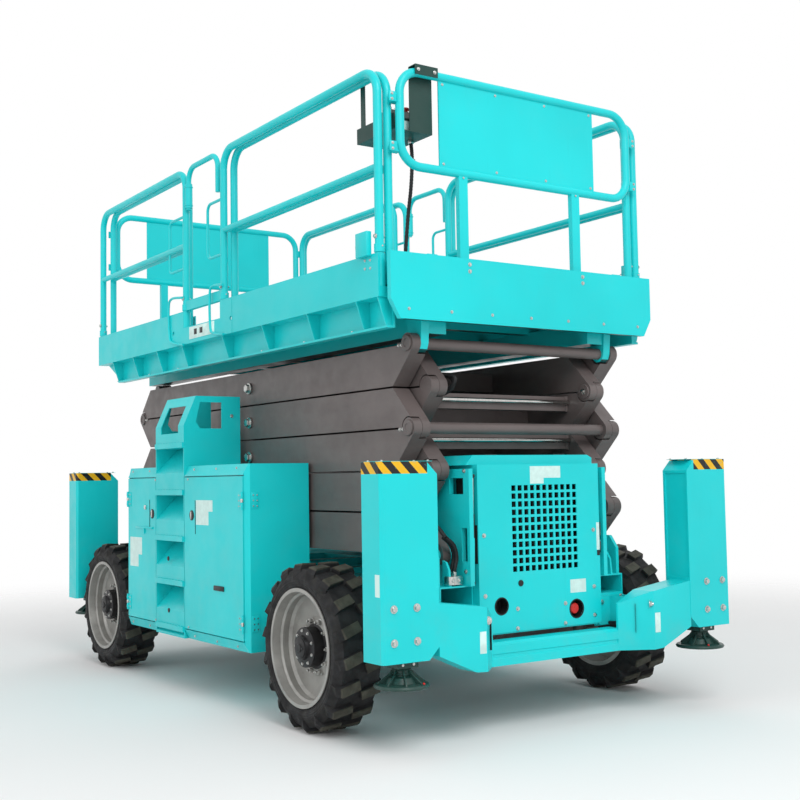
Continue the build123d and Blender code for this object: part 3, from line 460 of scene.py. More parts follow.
def rim_metal(name, look, centre, side):
    """Silver enamel dish, plated studs and a black drum, told apart by radius and depth."""
    shade = Shade(name, roughness=0.38, metallic=0.35, specular=0.5)
    radius = shade.distance(centre, (1, 0, 1))
    depth = shade.maths("MULTIPLY", shade.maths("SUBTRACT", shade.axis("Y"), centre[1]), side)
    dish = shade.drift(look.rim_silver, 5, 5, 0.3, 0.72, 0.78, 1.12, 0.6)
    grime = shade.ramp(shade.noise(16, 6, 0.65), 0.5, 0.78, 0, 0.35)
    dish = shade.mix(grime, dish, scaled_colour(look.rim_silver, 0.35))
    drum = shade.drift(look.black, 5, 5, 0.3, 0.72, 0.8, 2.0, 0.6)
    studs = shade.both(shade.maths("LESS_THAN", radius, 0.145), shade.maths("GREATER_THAN", depth, 0.0405))
    shade.colour(shade.mix(shade.maths("LESS_THAN", radius, 0.1135),
                           shade.mix(studs, dish, scaled_colour(look.steel, 0.95)), drum))
    shade.rough(22, 5, 0.3, 0.7, 0.3, 0.5)
    shade.bump(shade.noise(210, 3, 0.5), 0.0006, 0.3)
    return shade.material


def finish(name):
    """A finish of the lift by name, made the first time that it is asked for."""
    found = bpy.data.materials.get(name)
    if found:
        return found
    look = bpy.context.scene.lift_finish
    makers = {
        "teal_enamel": lambda: painted(name, look.teal),
        "shaded_teal": lambda: painted(name, scaled_colour(look.teal, 0.72), 0.4, 0.14),
        # The deck's teal has painted shade: its downward faces are darkened to a tenth of the teal.
        "deck_enamel_painted_shade": lambda: painted(name, look.teal, over=underside_shade_over(scaled_colour(look.teal, 0.10))),
        "striped_teal": lambda: painted(name, look.teal, over=stripes_over(look)),
        "arm_enamel": lambda: arm_paint(name, look.arm_grey),
        "arm_dark": lambda: arm_paint(name, scaled_colour(look.arm_grey, 0.45)),
        "axle_enamel": lambda: painted(name, scaled_colour(look.arm_grey, 0.45), 0.45, 0.25),
        "chrome_rod": lambda: plated_metal(name, look.steel, 0.12),
        "zinc": lambda: plated_metal(name, look.steel, 0.28),
        "dark_green_enamel": lambda: painted(name, look.dark_green, 0.42),
        "dark_casting": lambda: cast_metal(name, look.dark_steel),
        "black_plastic": lambda: moulded(name, look.black, 0.45),
        "hose_rubber": lambda: moulded(name, look.black, 0.62, 200),
        "blank_vinyl": lambda: moulded(name, look.label, 0.35, 500),
        "stop_red": lambda: moulded(name, look.red, 0.3, 500),
        "hazard_yellow": lambda: moulded(name, look.yellow, 0.4, 400),
        "radiator_fins": lambda: cast_metal(name, scaled_colour(look.dark_steel, 0.8), 0.5, 0.5),
        # Near-black matte sheet that stands for the shade inside slots, slits, openings and recesses: painted
        # shade.
        "opening_painted_shade": lambda: moulded(name, scaled_colour(look.black, 0.35), 0.9, 90),
    }
    return makers[name]()


def dress(name, material):
    """Puts one material on every slot of a CAD node."""
    mesh = NODES[name].data
    mesh.materials.clear()
    mesh.materials.append(material)


def round_edges(name, width):
    """Rounds the sharp edges of a CAD node for its highlights."""
    rounding = NODES[name].modifiers.new("edge_rounding", "BEVEL")
    rounding.width = width
    rounding.segments = 2
    rounding.limit_method = "ANGLE"
    rounding.angle_limit = math.radians(SHARP_DEGREES)
    rounding.harden_normals = True


class LIFT_OT_finishes(bpy.types.Operator):
    """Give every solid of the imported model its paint, metal or rubber"""

    bl_idname = "lift.finishes"
    bl_label = "Finishes"

    def execute(self, context):
        look = context.scene.lift_finish
        groups = (
            (TEAL_NODES, "teal_enamel"), (OUTRIGGER_NODES, "striped_teal"),
            (ARM_NODES + BARREL_NODES, "arm_enamel"), (AXLE_NODES, "axle_enamel"), (ROD_NODES, "chrome_rod"),
            (JACK_NODES + ("control_box",), "dark_green_enamel"),
            (("engine_block", "fuel_tank"), "dark_casting"), (("radiator_core",), "radiator_fins"),
            (DECK_NODES, "deck_enamel_painted_shade"),
        )
        for names, material in groups:
            for name in names:
                dress(name, finish(material))
        for name, patches in LABELS.items():
            dress(name, painted(f"labelled_{name}", look.teal, over=labels_over(look.label, patches)))
        for tyre, rim in zip(TYRE_NODES, RIM_NODES):
            low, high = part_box(tyre)
            centre = (low + high) / 2
            dress(tyre, tyre_rubber(f"rubber_{tyre}", look, centre))
            dress(rim, rim_metal(f"paint_{rim}", look, centre, 1 if centre.y > 0 else -1))
            round_edges(tyre, TYRE_ROUND * look.edge_round)
        for name in TEAL_NODES + OUTRIGGER_NODES + ARM_NODES + JACK_NODES + ("control_box",):
            round_edges(name, look.edge_round)
        return {"FINISHED"}


# ---------------------------------------------------------------- pieces


def spokes(count, shift=0.0, plane="xz"):
    """Evenly spaced directions round the Y axis, or round the Z axis in the xy plane."""
    turns = [2 * math.pi * (n + shift) / count for n in range(count)]
    if plane == "xz":
        return [Vector((math.cos(turn), 0, math.sin(turn))) for turn in turns]
    return [Vector((math.cos(turn), math.sin(turn), 0)) for turn in turns]


def spread(low, high, count):
    """Evenly spaced values from low to high, both included."""
    return [low + (high - low) * n / (count - 1) for n in range(count)]


def oblong(u, v):
    """The corners of a rectangle about the origin, from its half sizes."""
    return ((-u, -v), (u, -v), (u, v), (-u, v))


def smooth_line(points, steps):
    """Points of a Catmull-Rom curve through the given points."""
    if len(points) < 3:
        return [points[0].lerp(points[-1], t) for t in spread(0, 1, max(steps, 1) + 1)]
    padded = [2 * points[0] - points[1], *points, 2 * points[-1] - points[-2]]
    line = []
    for before, start, end, after in zip(padded, padded[1:], padded[2:], padded[3:]):
        for i in range(steps):
            t = i / steps
            line.append(0.5 * (2 * start + (end - before) * t
                               + (2 * before - 5 * start + 4 * end - after) * t ** 2
                               + (3 * start - before - 3 * end + after) * t ** 3))
    line.append(points[-1])
    return line


class Piece:
    """One named piece, gathered from small closed solids, that rides on a body of the frame.

    Places and directions are multiplied by mirror, so one side's figures also build the other.
    """

    def __init__(self, name, body, mirror=(1, 1, 1)):
        self.name = name
        self.body = body
        self.mirror = mirror
        self.mesh = bmesh.new()
        self.names = []

    def real(self, triple):
        """A place or direction on the side that is being built."""
        return Vector([value * sign for value, sign in zip(triple, self.mirror)])

    def take(self, part, material):
        """Adds a finished bmesh with one named finish."""
        if material not in self.names:
            self.names.append(material)
        slot = self.names.index(material)
        bmesh.ops.recalc_face_normals(part, faces=part.faces)
        for face in part.faces:
            face.material_index = slot
            face.smooth = True
        scratch = bpy.data.meshes.new("scratch")
        part.to_mesh(scratch)
        part.free()
        self.mesh.from_mesh(scratch)
        bpy.data.meshes.remove(scratch)

    def sleeve(self, sections, material, closed=False):
        """Skins rings of points, given section by section, and caps the ends of an open row."""
        part = bmesh.new()
        rings = [[part.verts.new(point) for point in section] for section in sections]
        following = rings[1:] + rings[:1] if closed else rings[1:]
        for first, second in zip(rings, following):
            for n in range(len(first)):
                m = (n + 1) % len(first)
                part.faces.new((first[n], first[m], second[m], second[n]))
        if not closed:
            part.faces.new(list(reversed(rings[0])))
            part.faces.new(rings[-1])
        self.take(part, material)

    def slab(self, one, other, material, edge=0.0015):
        """A block between two opposite corners with softened edges."""
        one, other = self.real(one), self.real(other)
        size = [abs(span) for span in other - one]
        part = bmesh.new()
        place = Matrix.Translation((one + other) / 2) @ Matrix.Diagonal((*size, 1))
        bmesh.ops.create_cube(part, size=1, matrix=place)
        bmesh.ops.bevel(part, geom=part.edges, offset=edge, segments=2, affect="EDGES", profile=0.5)
        self.take(part, material)

    def rod(self, start, end, radius, material="zinc", sides=16, edge=0.0015):
        """A round or hexagonal bar with softened rims."""
        start, end = self.real(start), self.real(end)
        span = end - start
        turn = span.to_track_quat("Z", "Y").to_matrix().to_4x4()
        part = bmesh.new()
        bmesh.ops.create_cone(part, cap_ends=True, segments=sides, radius1=radius, radius2=radius,
                              depth=span.length, matrix=Matrix.Translation((start + end) / 2) @ turn)
        rims = [item for item in part.edges if any(len(face.verts) > 4 for face in item.link_faces)]
        bmesh.ops.bevel(part, geom=rims, offset=min(edge, span.length / 3), segments=2,
                        affect="EDGES", profile=0.5)
        self.take(part, material)

    def plate(self, outline, offset, material, edge=0.0008):
        """A flat sheet: an outline of points, thickened along an offset."""
        part = bmesh.new()
        offset = self.real(offset)
        front = [part.verts.new(self.real(point)) for point in outline]
        back = [part.verts.new(corner.co + offset) for corner in front]
        part.faces.new(front)
        part.faces.new(list(reversed(back)))
        for i in range(len(outline)):
            j = (i + 1) % len(outline)
            part.faces.new((front[i], front[j], back[j], back[i]))
        bmesh.ops.recalc_face_normals(part, faces=part.faces)
        if edge:
            bmesh.ops.bevel(part, geom=part.edges, offset=edge, segments=1, affect="EDGES")
        self.take(part, material)

    def pipe(self, points, radius, material="hose_rubber", sides=10, steps=8, ribs=0.0):
        """A hose or pipe along a smooth line through the points; ribs alternate its radius."""
        line = smooth_line([self.real(point) for point in points], steps)
        ahead = (line[1] - line[0]).normalized()
        side = ahead.orthogonal().normalized()
        sections = []
        for i, centre in enumerate(line):
            after = line[min(i + 1, len(line) - 1)] - line[max(i - 1, 0)]
            after.normalize()
            side = (ahead.rotation_difference(after) @ side).normalized()
            ahead = after
            up = ahead.cross(side)
            size = radius * (1 - ribs * (i % 2))
            sections.append([centre + size * (spoke.x * side + spoke.z * up) for spoke in spokes(sides)])
        self.sleeve(sections, material)

    def lathe(self, profile, origin, axis, material, sides=24):
        """A turned solid: (radius, distance) pairs about an axis, closed at both ends."""
        turn = self.real(axis).to_track_quat("Z", "Y").to_matrix()
        origin = self.real(origin)
        round_z = spokes(sides, plane="xy")
        self.sleeve([[origin + turn @ (radius * spoke + along * UP) for spoke in round_z]
                     for radius, along in profile], material)

    def ring(self, centre, axis, radius, wire, material, sides=24):
        """A closed round loop of wire or tube."""
        turn = self.real(axis).to_track_quat("Z", "Y").to_matrix()
        centre = self.real(centre)
        self.sleeve([[centre + turn @ ((radius + wire * spoke.x) * out + wire * spoke.z * UP)
                      for spoke in spokes(WIRE_SIDES)] for out in spokes(sides, plane="xy")],
                    material, closed=True)

    def bolt(self, place, outward, radius, material="zinc", stud=0.0, washer=True):
        """A hexagon head on a washer, with the end of a stud if it is a nut."""
        base, outward = Vector(place), Vector(outward).normalized()
        if washer:
            self.rod(base, base + outward * radius * 0.22, radius * 1.35, material, 18, radius * 0.05)
            base = base + outward * radius * 0.21
        self.rod(base, base + outward * radius * 0.75, radius, material, 6, radius * 0.09)
        if stud:
            self.rod(base, base + outward * (radius * 0.75 + stud), radius * 0.5, material, 10, radius * 0.08)

    def bolts(self, places, outward, radius, **more):
        """The same bolt at several places."""
        for place in places:
            self.bolt(place, outward, radius, **more)

    def finish(self):
        """Makes the object, shares out its finishes and lets it ride on its body."""
        mesh = bpy.data.meshes.new(self.name)
        self.mesh.to_mesh(mesh)
        self.mesh.free()
        for name in self.names:
            mesh.materials.append(finish(name))
        mesh.set_sharp_from_angle(angle=math.radians(35))
        piece = bpy.data.objects.new(self.name, mesh)
        bpy.context.scene.collection.objects.link(piece)
        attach(piece, self.body)


class LIFT_OT_wheels(bpy.types.Operator):
    """Add stud ends on the wheel nuts, hub bolts, hub caps and tyre valves"""

    bl_idname = "lift.wheels"
    bl_label = "Wheels"

    def execute(self, context):
        for corner, rim in zip(CORNERS, RIM_NODES):
            low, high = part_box(rim)
            hub = Vector(((low.x + high.x) / 2, WHEEL_Y, (low.z + high.z) / 2))
            piece = Piece(f"wheel_fasteners_{corner}", f"wheel_{corner}", (1, 1 if low.y > 0 else -1, 1))
            for spoke in spokes(10):
                stud = hub + STUD_CIRCLE * spoke
                piece.rod(stud + 0.046 * OUT, stud + 0.062 * OUT, 0.0065, sides=10)
                piece.rod(stud + 0.024 * OUT, stud + 0.030 * OUT, 0.0165, sides=18)
            piece.bolts([hub + 0.083 * spoke + 0.1015 * OUT for spoke in spokes(9, 0.5)], OUT, 0.0065)
            piece.lathe(((0.052, 0.121), (0.052, 0.125), (0.046, 0.128), (0.022, 0.128), (0.022, 0.131),
                         (0.018, 0.134), (0.004, 0.134)), hub, OUT, "black_plastic", 32)
            piece.bolt(hub + 0.0335 * AHEAD + 0.128 * OUT, OUT, 0.006, "dark_casting")
            stem = hub + Vector((0.15, 0, 0.17))
            cap = stem + Vector((0.006, 0.075, 0.008))
            piece.pipe((stem + 0.028 * OUT, stem + 0.05 * OUT, cap), 0.005, steps=4)
            piece.rod(cap, cap + 0.014 * OUT, 0.0058, "dark_casting", 12)
            piece.finish()
        return {"FINISHED"}


class LIFT_OT_outriggers(bpy.types.Operator):
    """Add the outriggers' bolts, slots, brackets, hoses and the ribs of the foot pads"""

    bl_idname = "lift.outriggers"
    bl_label = "Outriggers"

    def housing(self, piece, look, hose_z):
        """The fittings of one arm and its housing."""
        piece.bolts([(HOUSING_FACE_X, y, z) for y in (0.9595, 1.0850) for z in (0.6725, 0.5220)],
                    AHEAD, look.bolt_radius)
        facet = Vector((1, 1, 0)).normalized()
        along = Vector((-1, 1, 0)).normalized()
        piece.bolt(Vector((2.089, 0.540, 0.579)) - 0.002 * facet, facet, 1.1 * look.bolt_radius, stud=0.008)
        # The slot is a near-black sheet on the facet: painted shade for its inside.
        slot = Vector((2.036, 0.487, 0.505))
        piece.plate([slot + u * along + v * UP for u, v in oblong(0.009, 0.075)], 0.0012 * facet,
                    "opening_painted_shade", 0)
        piece.bolts([(BRACKET_FACE_X, y, 0.575) for y in (0.448, 0.535)], AHEAD, 0.011)
        piece.bolts([(BRACKET_FACE_X, 0.590, z) for z in (0.470, 0.600)], AHEAD, 0.009)
        piece.slab((1.950, 0.846, 1.3345), (2.088, 1.134, 1.3365), "teal_enamel", 0.0008)
        piece.bolts([(x, y, 1.3363) for x in (1.962, 2.076) for y in (0.862, 1.118)], UP, 0.006)
        piece.plate([(2.1042, 0.581 + u, 0.481 + v) for u, v in oblong(0.019, 0.051)], 0.0008 * AHEAD,
                    "blank_vinyl", 0)
        piece.pipe(((1.77, 0.505, 0.473), (1.83, 0.500, 0.462), (1.93, 0.500, 0.478), (1.99, 0.560, 0.520),
                    (1.985, 0.700, hose_z), (1.985, 0.836, hose_z + 0.02)), look.hose_radius, ribs=0.10)
        piece.rod((1.985, 0.824, hose_z + 0.02), (1.985, 0.8345, hose_z + 0.02), 0.016, sides=6)

    def execute(self, context):
        look = context.scene.lift_fitting
        for end, turn, hose_z in (("front", 1, 0.640), ("rear", -1, 0.600)):
            piece = Piece(f"{end}_outrigger_fasteners", "chassis")
            for _, side in HANDS:
                piece.mirror = (turn, side, 1)
                self.housing(piece, look, hose_z)
            piece.finish()
        for corner, node in zip(CORNERS, JACK_NODES):
            low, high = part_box(node)
            centre = Vector(((low.x + high.x) / 2, (low.y + high.y) / 2, 0))
            piece = Piece(f"pad_ribs_{corner}", node)
            for out in spokes(8, 0.5, "xy"):
                across = Vector((-out.y, out.x, 0))
                piece.plate([centre + r * out + z * UP - 0.004 * across for r, z in (
                    (0.036, 0.328), (0.112, 0.326), (0.108, 0.336), (0.060, 0.372), (0.039, 0.398))],
                    0.008 * across, "dark_green_enamel")
            for z in (0.372, 0.392):
                piece.ring(centre + z * UP, UP, 0.042, 0.004, "dark_green_enamel", 32)
            ahead, side = (math.copysign(1, value) for value in centre[:2])
            dot = centre + Vector((ahead * 0.104, -side * 0.050, 0.330))
            piece.rod(dot, dot + Vector((ahead * 0.003, 0, 0.004)), 0.006, "stop_red", 12)
            for shift in (0.03, -0.03):
                plug = centre + Vector((ahead * 0.0545, shift, 0.416))
                piece.rod(plug, plug + ahead * 0.004 * AHEAD, 0.007, sides=12)
            piece.finish()
        return {"FINISHED"}


class LIFT_OT_front_module(bpy.types.Operator):
    """Add the cover's screws, lock, stop button, hatch ring, gas strut, fins and hoses"""

    bl_idname = "lift.front_module"
    bl_label = "Front module"

    def cover(self):
        """What sits on the engine cover."""
        face = COVER_FACE_X
        piece = Piece("cover_fasteners", "chassis")
        piece.bolts([(face, y, z) for y, z in (
            (-0.375, 0.965), (-0.374, 0.665), (-0.167, 0.588), (-0.170, 0.489), (0.155, 0.593),
            (0.152, 0.490), (0.365, 0.967), (0.361, 0.667), (0.361, 0.518))], AHEAD, 0.0085)
        piece.lathe(((0.016, -0.001), (0.016, 0.004), (0.012, 0.0055), (0.004, 0.0055)),
                    (face, -0.144, 0.716), AHEAD, "black_plastic")
        # The lock's keyway is a near-black sheet: painted shade.
        piece.slab((face + 0.004, -0.147, 0.7155), (face + 0.0062, -0.141, 0.7165), "opening_painted_shade", 0.0003)
        # Each hatch ring sits on a cup whose near-black inside is painted shade.
        for y, z, radius in ((0.233, 0.560, 0.048), (-0.271, 0.608, 0.042)):
            piece.ring((face, y, z), AHEAD, radius, 0.0035, "black_plastic", 36)
            piece.lathe(((radius + 0.004, -0.060), (radius + 0.004, -0.007), (radius, -0.007),
                         (radius, -0.056), (0.004, -0.056), (0.004, -0.060)), (face, y, z), AHEAD,
                        "opening_painted_shade", 36)
        piece.lathe(((0.020, -0.057), (0.020, -0.034), (0.028, -0.032), (0.0285, -0.016), (0.024, -0.012),
                     (0.004, -0.0105)), (face, 0.233, 0.560), AHEAD, "stop_red", 32)
        piece.slab((face - 0.0005, 0.3885, 0.830), (face + 0.0025, 0.4085, 0.858), "black_plastic")
        for _, side in HANDS:
            piece.mirror = (1, side, 1)
            # Near-black sheets on the cover's sides stand for its openings: painted shade.
            for low_x, high_x, low_z, high_z in ((1.690, 1.828, 1.160, 1.268), (1.785, 1.856, 0.826, 1.018)):
                piece.slab((low_x, COVER_SIDE_Y - 0.0005, low_z), (high_x, COVER_SIDE_Y + 0.0025, high_z),
                           "opening_painted_shade", 0.0008)
        for y in (-0.30, 0.16):
            piece.slab((1.62, y, 1.3675), (1.79, y + 0.08, 1.374), "black_plastic")
        piece.slab((1.855, -0.4095, 0.4699), (1.8632, 0.4095, 0.478), "shaded_teal")
        piece.finish()

    def radiator(self, count):
        """The fins, tanks and hose behind the grille."""
        core = Piece("radiator_fins", "chassis")
        for n in range(count):
            y = -0.355 + 0.71 * (n + 0.5) / count
            core.slab((1.799, y - 0.0016, 0.52), (1.811, y + 0.0016, 1.27), "radiator_fins", 0.0006)
        for z in spread(0.56, 1.26, 9):
            core.slab((1.799, -0.37, z - 0.004), (1.806, 0.37, z + 0.004), "radiator_fins", 0.001)
        for z in (0.505, 1.283):
            core.slab((1.70, -0.385, z - 0.012), (1.815, 0.385, z + 0.012), "dark_casting", 0.003)
        core.pipe(((1.74, 0.395, 1.23), (1.66, 0.40, 1.20), (1.58, 0.36, 1.06), (1.55, 0.30, 0.92)), 0.024,
                  sides=14, steps=6, ribs=0.06)
        core.finish()

    def strut(self):
        """The gas strut beside the cover."""
        strut = Piece("gas_strut", "chassis")
        middle, neck = STRUT_TOP.lerp(STRUT_FOOT, 0.36), STRUT_TOP.lerp(STRUT_FOOT, 0.58)
        strut.rod(STRUT_TOP, middle, 0.0055, "chrome_rod", 14)
        strut.rod(middle, neck, 0.0095, "black_plastic", 16)
        strut.rod(neck, STRUT_FOOT, 0.0100, "teal_enamel", 16)
        for end in (STRUT_TOP, STRUT_FOOT):
            strut.rod(end - 0.014 * AHEAD, end + 0.006 * AHEAD, 0.0085, sides=14)
            strut.lathe(((0.004, -0.010), (0.011, -0.007), (0.013, 0.0), (0.011, 0.007), (0.004, 0.010)),
                        end, UP, "black_plastic", 16)
        strut.slab((1.83, -0.438, 1.255), (1.842, -0.405, 1.275), "teal_enamel")
        strut.finish()

    def lines(self, hose_radius):
        """Hydraulic lines and pin caps at the front."""
        small = Piece("front_lines", "chassis")
        small.slab((1.770, -0.558, 0.726), (1.8125, -0.4725, 0.769), "zinc", 0.003)
        small.bolts([(1.8120, y, 0.748) for y in (-0.535, -0.495)], AHEAD, 0.0075)
        for x in (1.790, 1.766):
            small.pipe([(x, y, z) for y, z in (
                (-0.557, 0.961), (-0.510, 0.921), (-0.493, 0.863), (-0.505, 0.807), (-0.513, 0.770))],
                hose_radius)
            small.rod((x, -0.512, 0.768), (x, -0.509, 0.790), 0.0125, sides=6)
        small.pipe(((1.79, -0.557, 0.961), (1.72, -0.575, 1.02), (1.60, -0.585, 1.00), (1.47, -0.585, 0.86),
                    (1.40, -0.60, 0.74)), hose_radius)
        for _, side in HANDS:
            small.mirror = (1, side, 1)
            small.bolts([(1.8275, 0.4635, z) for z in (1.289, 0.790)], OUT, 0.008)
            small.lathe(((0.004, -0.004), (0.046, -0.004), (0.046, 0.006), (0.041, 0.009), (0.004, 0.009)),
                        (PIN_FRONT_X, 0.628, BASE_PIN_Z), OUT, "shaded_teal", 32)
        small.finish()

    def execute(self, context):
        look = context.scene.lift_fitting
        self.cover()
        self.radiator(look.fin_count)
        self.strut()
        self.lines(look.hose_radius)
        return {"FINISHED"}


class LIFT_OT_scissor(bpy.types.Operator):
    """Add the scissor's pin heads, keeper plates, centre nuts, cross shafts and arm hoses"""

    bl_idname = "lift.scissor"
    bl_label = "Scissor"

    def pins(self, level):
        """The pin heads of one outer and one inner arm pair; level 5 is the lowest."""
        high_z = BASE_PIN_Z + (LEVELS - level + 1) * PITCH_Z
        mid_z = high_z - PITCH_Z / 2
        lean = 1 if level % 2 else -1
        pin_x = PIN_CENTRE_X + lean * (PIN_FRONT_X - PIN_CENTRE_X)
        outer = Piece(f"pin_heads_outer_{level}", f"outer_arm_{level}")
        inner = Piece(f"pin_heads_inner_{level}", f"inner_arm_{level}")
        for _, side in HANDS:
            outer.mirror = inner.mirror = (1, side, 1)
            outer.lathe(((0.004, -0.002), (0.041, -0.002), (0.041, 0.006), (0.038, 0.009), (0.022, 0.009),
                         (0.020, 0.006), (0.004, 0.006)), (pin_x, ARM_FACE_Y, high_z), OUT, "arm_enamel", 32)
            keeper = Vector((pin_x - lean * 0.062, ARM_FACE_Y - 0.0005, high_z - 0.006))
            half = Vector((0.026, 0.001, 0.013))
            outer.slab(keeper - half, keeper + half, "arm_enamel", 0.0008)
            outer.bolts([keeper + Vector((shift, 0.001, 0)) for shift in (-0.013, 0.013)], OUT, 0.0062)
            inner.bolt((PIN_CENTRE_X, 0.7075, mid_z), OUT, 0.026)
            collar = Vector((2 * PIN_CENTRE_X - pin_x, ARM_INNER_Y, high_z))
            inner.lathe(((0.004, -0.006), (0.038, -0.006), (0.040, -0.003), (0.040, 0.001), (0.004, 0.001)),
                        collar, OUT, "arm_enamel", 32)
            inner.bolt(collar - 0.006 * OUT, -OUT, 0.012)
            half = Vector((0.018, 0.004, 0.010))
            for x in (-0.9, 0.72):
                clip = Vector((x, ARM_INNER_Y, mid_z - lean * ARM_SLOPE * (x - PIN_CENTRE_X)))
                inner.slab(clip - half, clip + half, "black_plastic", 0.002)
        outer.finish()
        inner.finish()

    def execute(self, context):
        look = context.scene.lift_fitting
        for level in range(LEVELS, 0, -1):
            self.pins(level)
        loops = Piece("arm_hoses_front", "inner_arm_2")
        z = BASE_PIN_Z + 4 * PITCH_Z
        for shift in (0.0, 0.026, 0.052):
            y = shift * 0.4
            loops.pipe(((1.30, y - 0.478, z - 0.085), (1.50, y - 0.470, z - 0.06),
                        (1.70, y - 0.465, z - 0.02), (1.765 - shift, y - 0.46, z + 0.03),
                        (1.70 - shift, y - 0.458, z + 0.055), (1.50, y - 0.455, z + 0.02)),
                       look.hose_radius * 0.9)
        loops.finish()
        for level in (3, 2):
            mid_z = BASE_PIN_Z + (LEVELS + 0.5 - level) * PITCH_Z
            shaft = Piece(f"cross_shaft_{level}", f"inner_arm_{level}")
            for _, side in HANDS:
                shaft.mirror = (1, side, 1)
                shaft.slab((SHAFT_X - 0.046, 0.470, mid_z + 0.001),
                           (SHAFT_X + 0.046, ARM_INNER_Y, mid_z + 0.089), "arm_enamel", 0.003)
            shaft.rod((SHAFT_X + 0.052, -ARM_INNER_Y, mid_z + 0.052),
                      (SHAFT_X + 0.052, ARM_INNER_Y, mid_z + 0.052), 0.013, "chrome_rod", 20)
            shaft.finish()
        return {"FINISHED"}


# Each pod's doors: bay, hinge corner, way out, screw x, latch x, slit (x, low, high), and bars on
# the face as (low x, high x, low z, high z, height, finish, edge).
BAYS = (
    ("front", POD_FRONT_X, 1, -0.031, 0.020, (0.070, 0.951, 1.149),
     ((0.322, 0.452, 0.640, 0.668, 0.007, "black_plastic", 0.004),)),
    ("rear", POD_REAR_X, -1, -0.527, -0.580, (-0.623, 0.976, 1.149),
     ((-0.848, -0.569, 0.965, 0.976, 0.009, "teal_enamel", 0.002),
      (-0.714, -0.704, 0.930, 0.967, 0.009, "teal_enamel", 0.002),
      (-0.703, -0.679, 1.086, 1.114, 0.009, "zinc", 0.003))),
)


class LIFT_OT_pods(bpy.types.Operator):
    """Add the pods' hinges, latches, lift bars, slits and screws, and the ladders' plugs"""

    bl_idname = "lift.pods"
    bl_label = "Pods and ladders"

    def hinges(self, door, shell, corner_x, turn):
        """The leaves, knuckles and screws of a door's two hinges."""
        hinge_x = corner_x - turn * 0.028
        rows = (-0.030, 0.0, 0.030)
        for z in (0.480, 1.150):
            door.slab((hinge_x - turn * 0.052, DOOR_FACE_Y, z - 0.045),
                      (hinge_x - turn * 0.006, DOOR_FACE_Y + 0.003, z + 0.045), "teal_enamel", 0.0008)
            door.bolts([(hinge_x - turn * depth, DOOR_FACE_Y + 0.0028, z + row)
                        for row in rows for depth in (0.020, 0.040)], OUT, 0.0042, washer=False)
            for row, material in zip(rows, ("teal_enamel", "zinc", "teal_enamel")):
                door.rod((hinge_x, HINGE_Y, z + row - 0.010), (hinge_x, HINGE_Y, z + row + 0.010), 0.0085,
                         material)
            shell.slab((corner_x + turn * 0.0005, 1.035, z - 0.045),
                       (corner_x + turn * 0.0025, 1.082, z + 0.045), "teal_enamel", 0.0008)
            shell.bolts([(corner_x + turn * 0.0023, y, z + row) for row in rows for y in (1.047, 1.070)],
                        turn * AHEAD, 0.0042, washer=False)

    def face_fittings(self, door, screw_x, latch_x, slit, bars):
        """What sits on the face of one door."""
        face = DOOR_FACE_Y
        slit_x, slit_low, slit_high = slit
        slit_y = face + (0.0016 if door.mirror[1] > 0 else 0.0020)
        # The slit is a near-black sheet: painted shade in the gap.
        door.slab((slit_x - 0.0022, slit_y - 0.0020, slit_low), (slit_x + 0.0022, slit_y, slit_high),
                  "opening_painted_shade", 0.0003)
        door.bolts([(screw_x, face, z) for z in (0.400, 1.273)], OUT, 0.0055)
        door.lathe(((0.030, -0.0005), (0.030, 0.0025), (0.026, 0.004), (0.004, 0.004)),
                   (latch_x, face, LATCH_Z), OUT, "black_plastic", 32)
        door.slab((latch_x - 0.006, face + 0.003, LATCH_Z - 0.022),
                  (latch_x + 0.006, face + 0.0085, LATCH_Z + 0.022), "zinc", 0.002)
        for low_x, high_x, low_z, high_z, height, material, edge in bars:
            door.slab((low_x, face - 0.0005, low_z), (high_x, face + height, high_z), material, edge)
        door.finish()

    def execute(self, context):
        for hand, side in HANDS:
            mirror = (1, side, 1)
            shell = Piece(f"pod_fasteners_{hand}", "chassis", mirror)
            for bay, corner_x, turn, *fittings in BAYS:
                door = Piece(f"door_fittings_{bay}_{hand}", f"pod_door_{bay}_{hand}", mirror)
                self.hinges(door, shell, corner_x, turn)
                self.face_fittings(door, *fittings)
            shell.bolts([(x, LADDER_FACE_Y, z) for x in (-0.90, -0.62, 0.06, 0.36, 0.62)
                         for z in (0.355, 1.330)], OUT, 0.0055)
            for x, z in ((-0.328, 0.790), (-0.323, 0.475)):
                shell.lathe(((0.014, -0.001), (0.014, 0.003), (0.010, 0.0045), (0.003, 0.0045)),
                            (x, LADDER_FACE_Y, z), OUT, "black_plastic", 20)
            shell.lathe(((0.036, -0.001), (0.036, 0.012), (0.044, 0.014), (0.044, 0.030), (0.036, 0.034),
                         (0.004, 0.034)), (-0.90, 0.90, 1.352), UP, "black_plastic", 28)
            for x, inside in ((-0.5215, -1), (-0.0925, 1)):
                shell.bolts([(x, 0.80, z) for z in (1.05, 1.30, 1.66)], inside * AHEAD, 0.008)
            for z in (0.394, 0.665, 0.931, 1.210, 1.497):
                for x in spread(-0.48, -0.134, 9):
                    shell.slab((x - 0.008, 1.096, z - 0.0005), (x + 0.008, 1.126, z + 0.003),
                               "teal_enamel", 0.001)
            shell.finish()
        return {"FINISHED"}


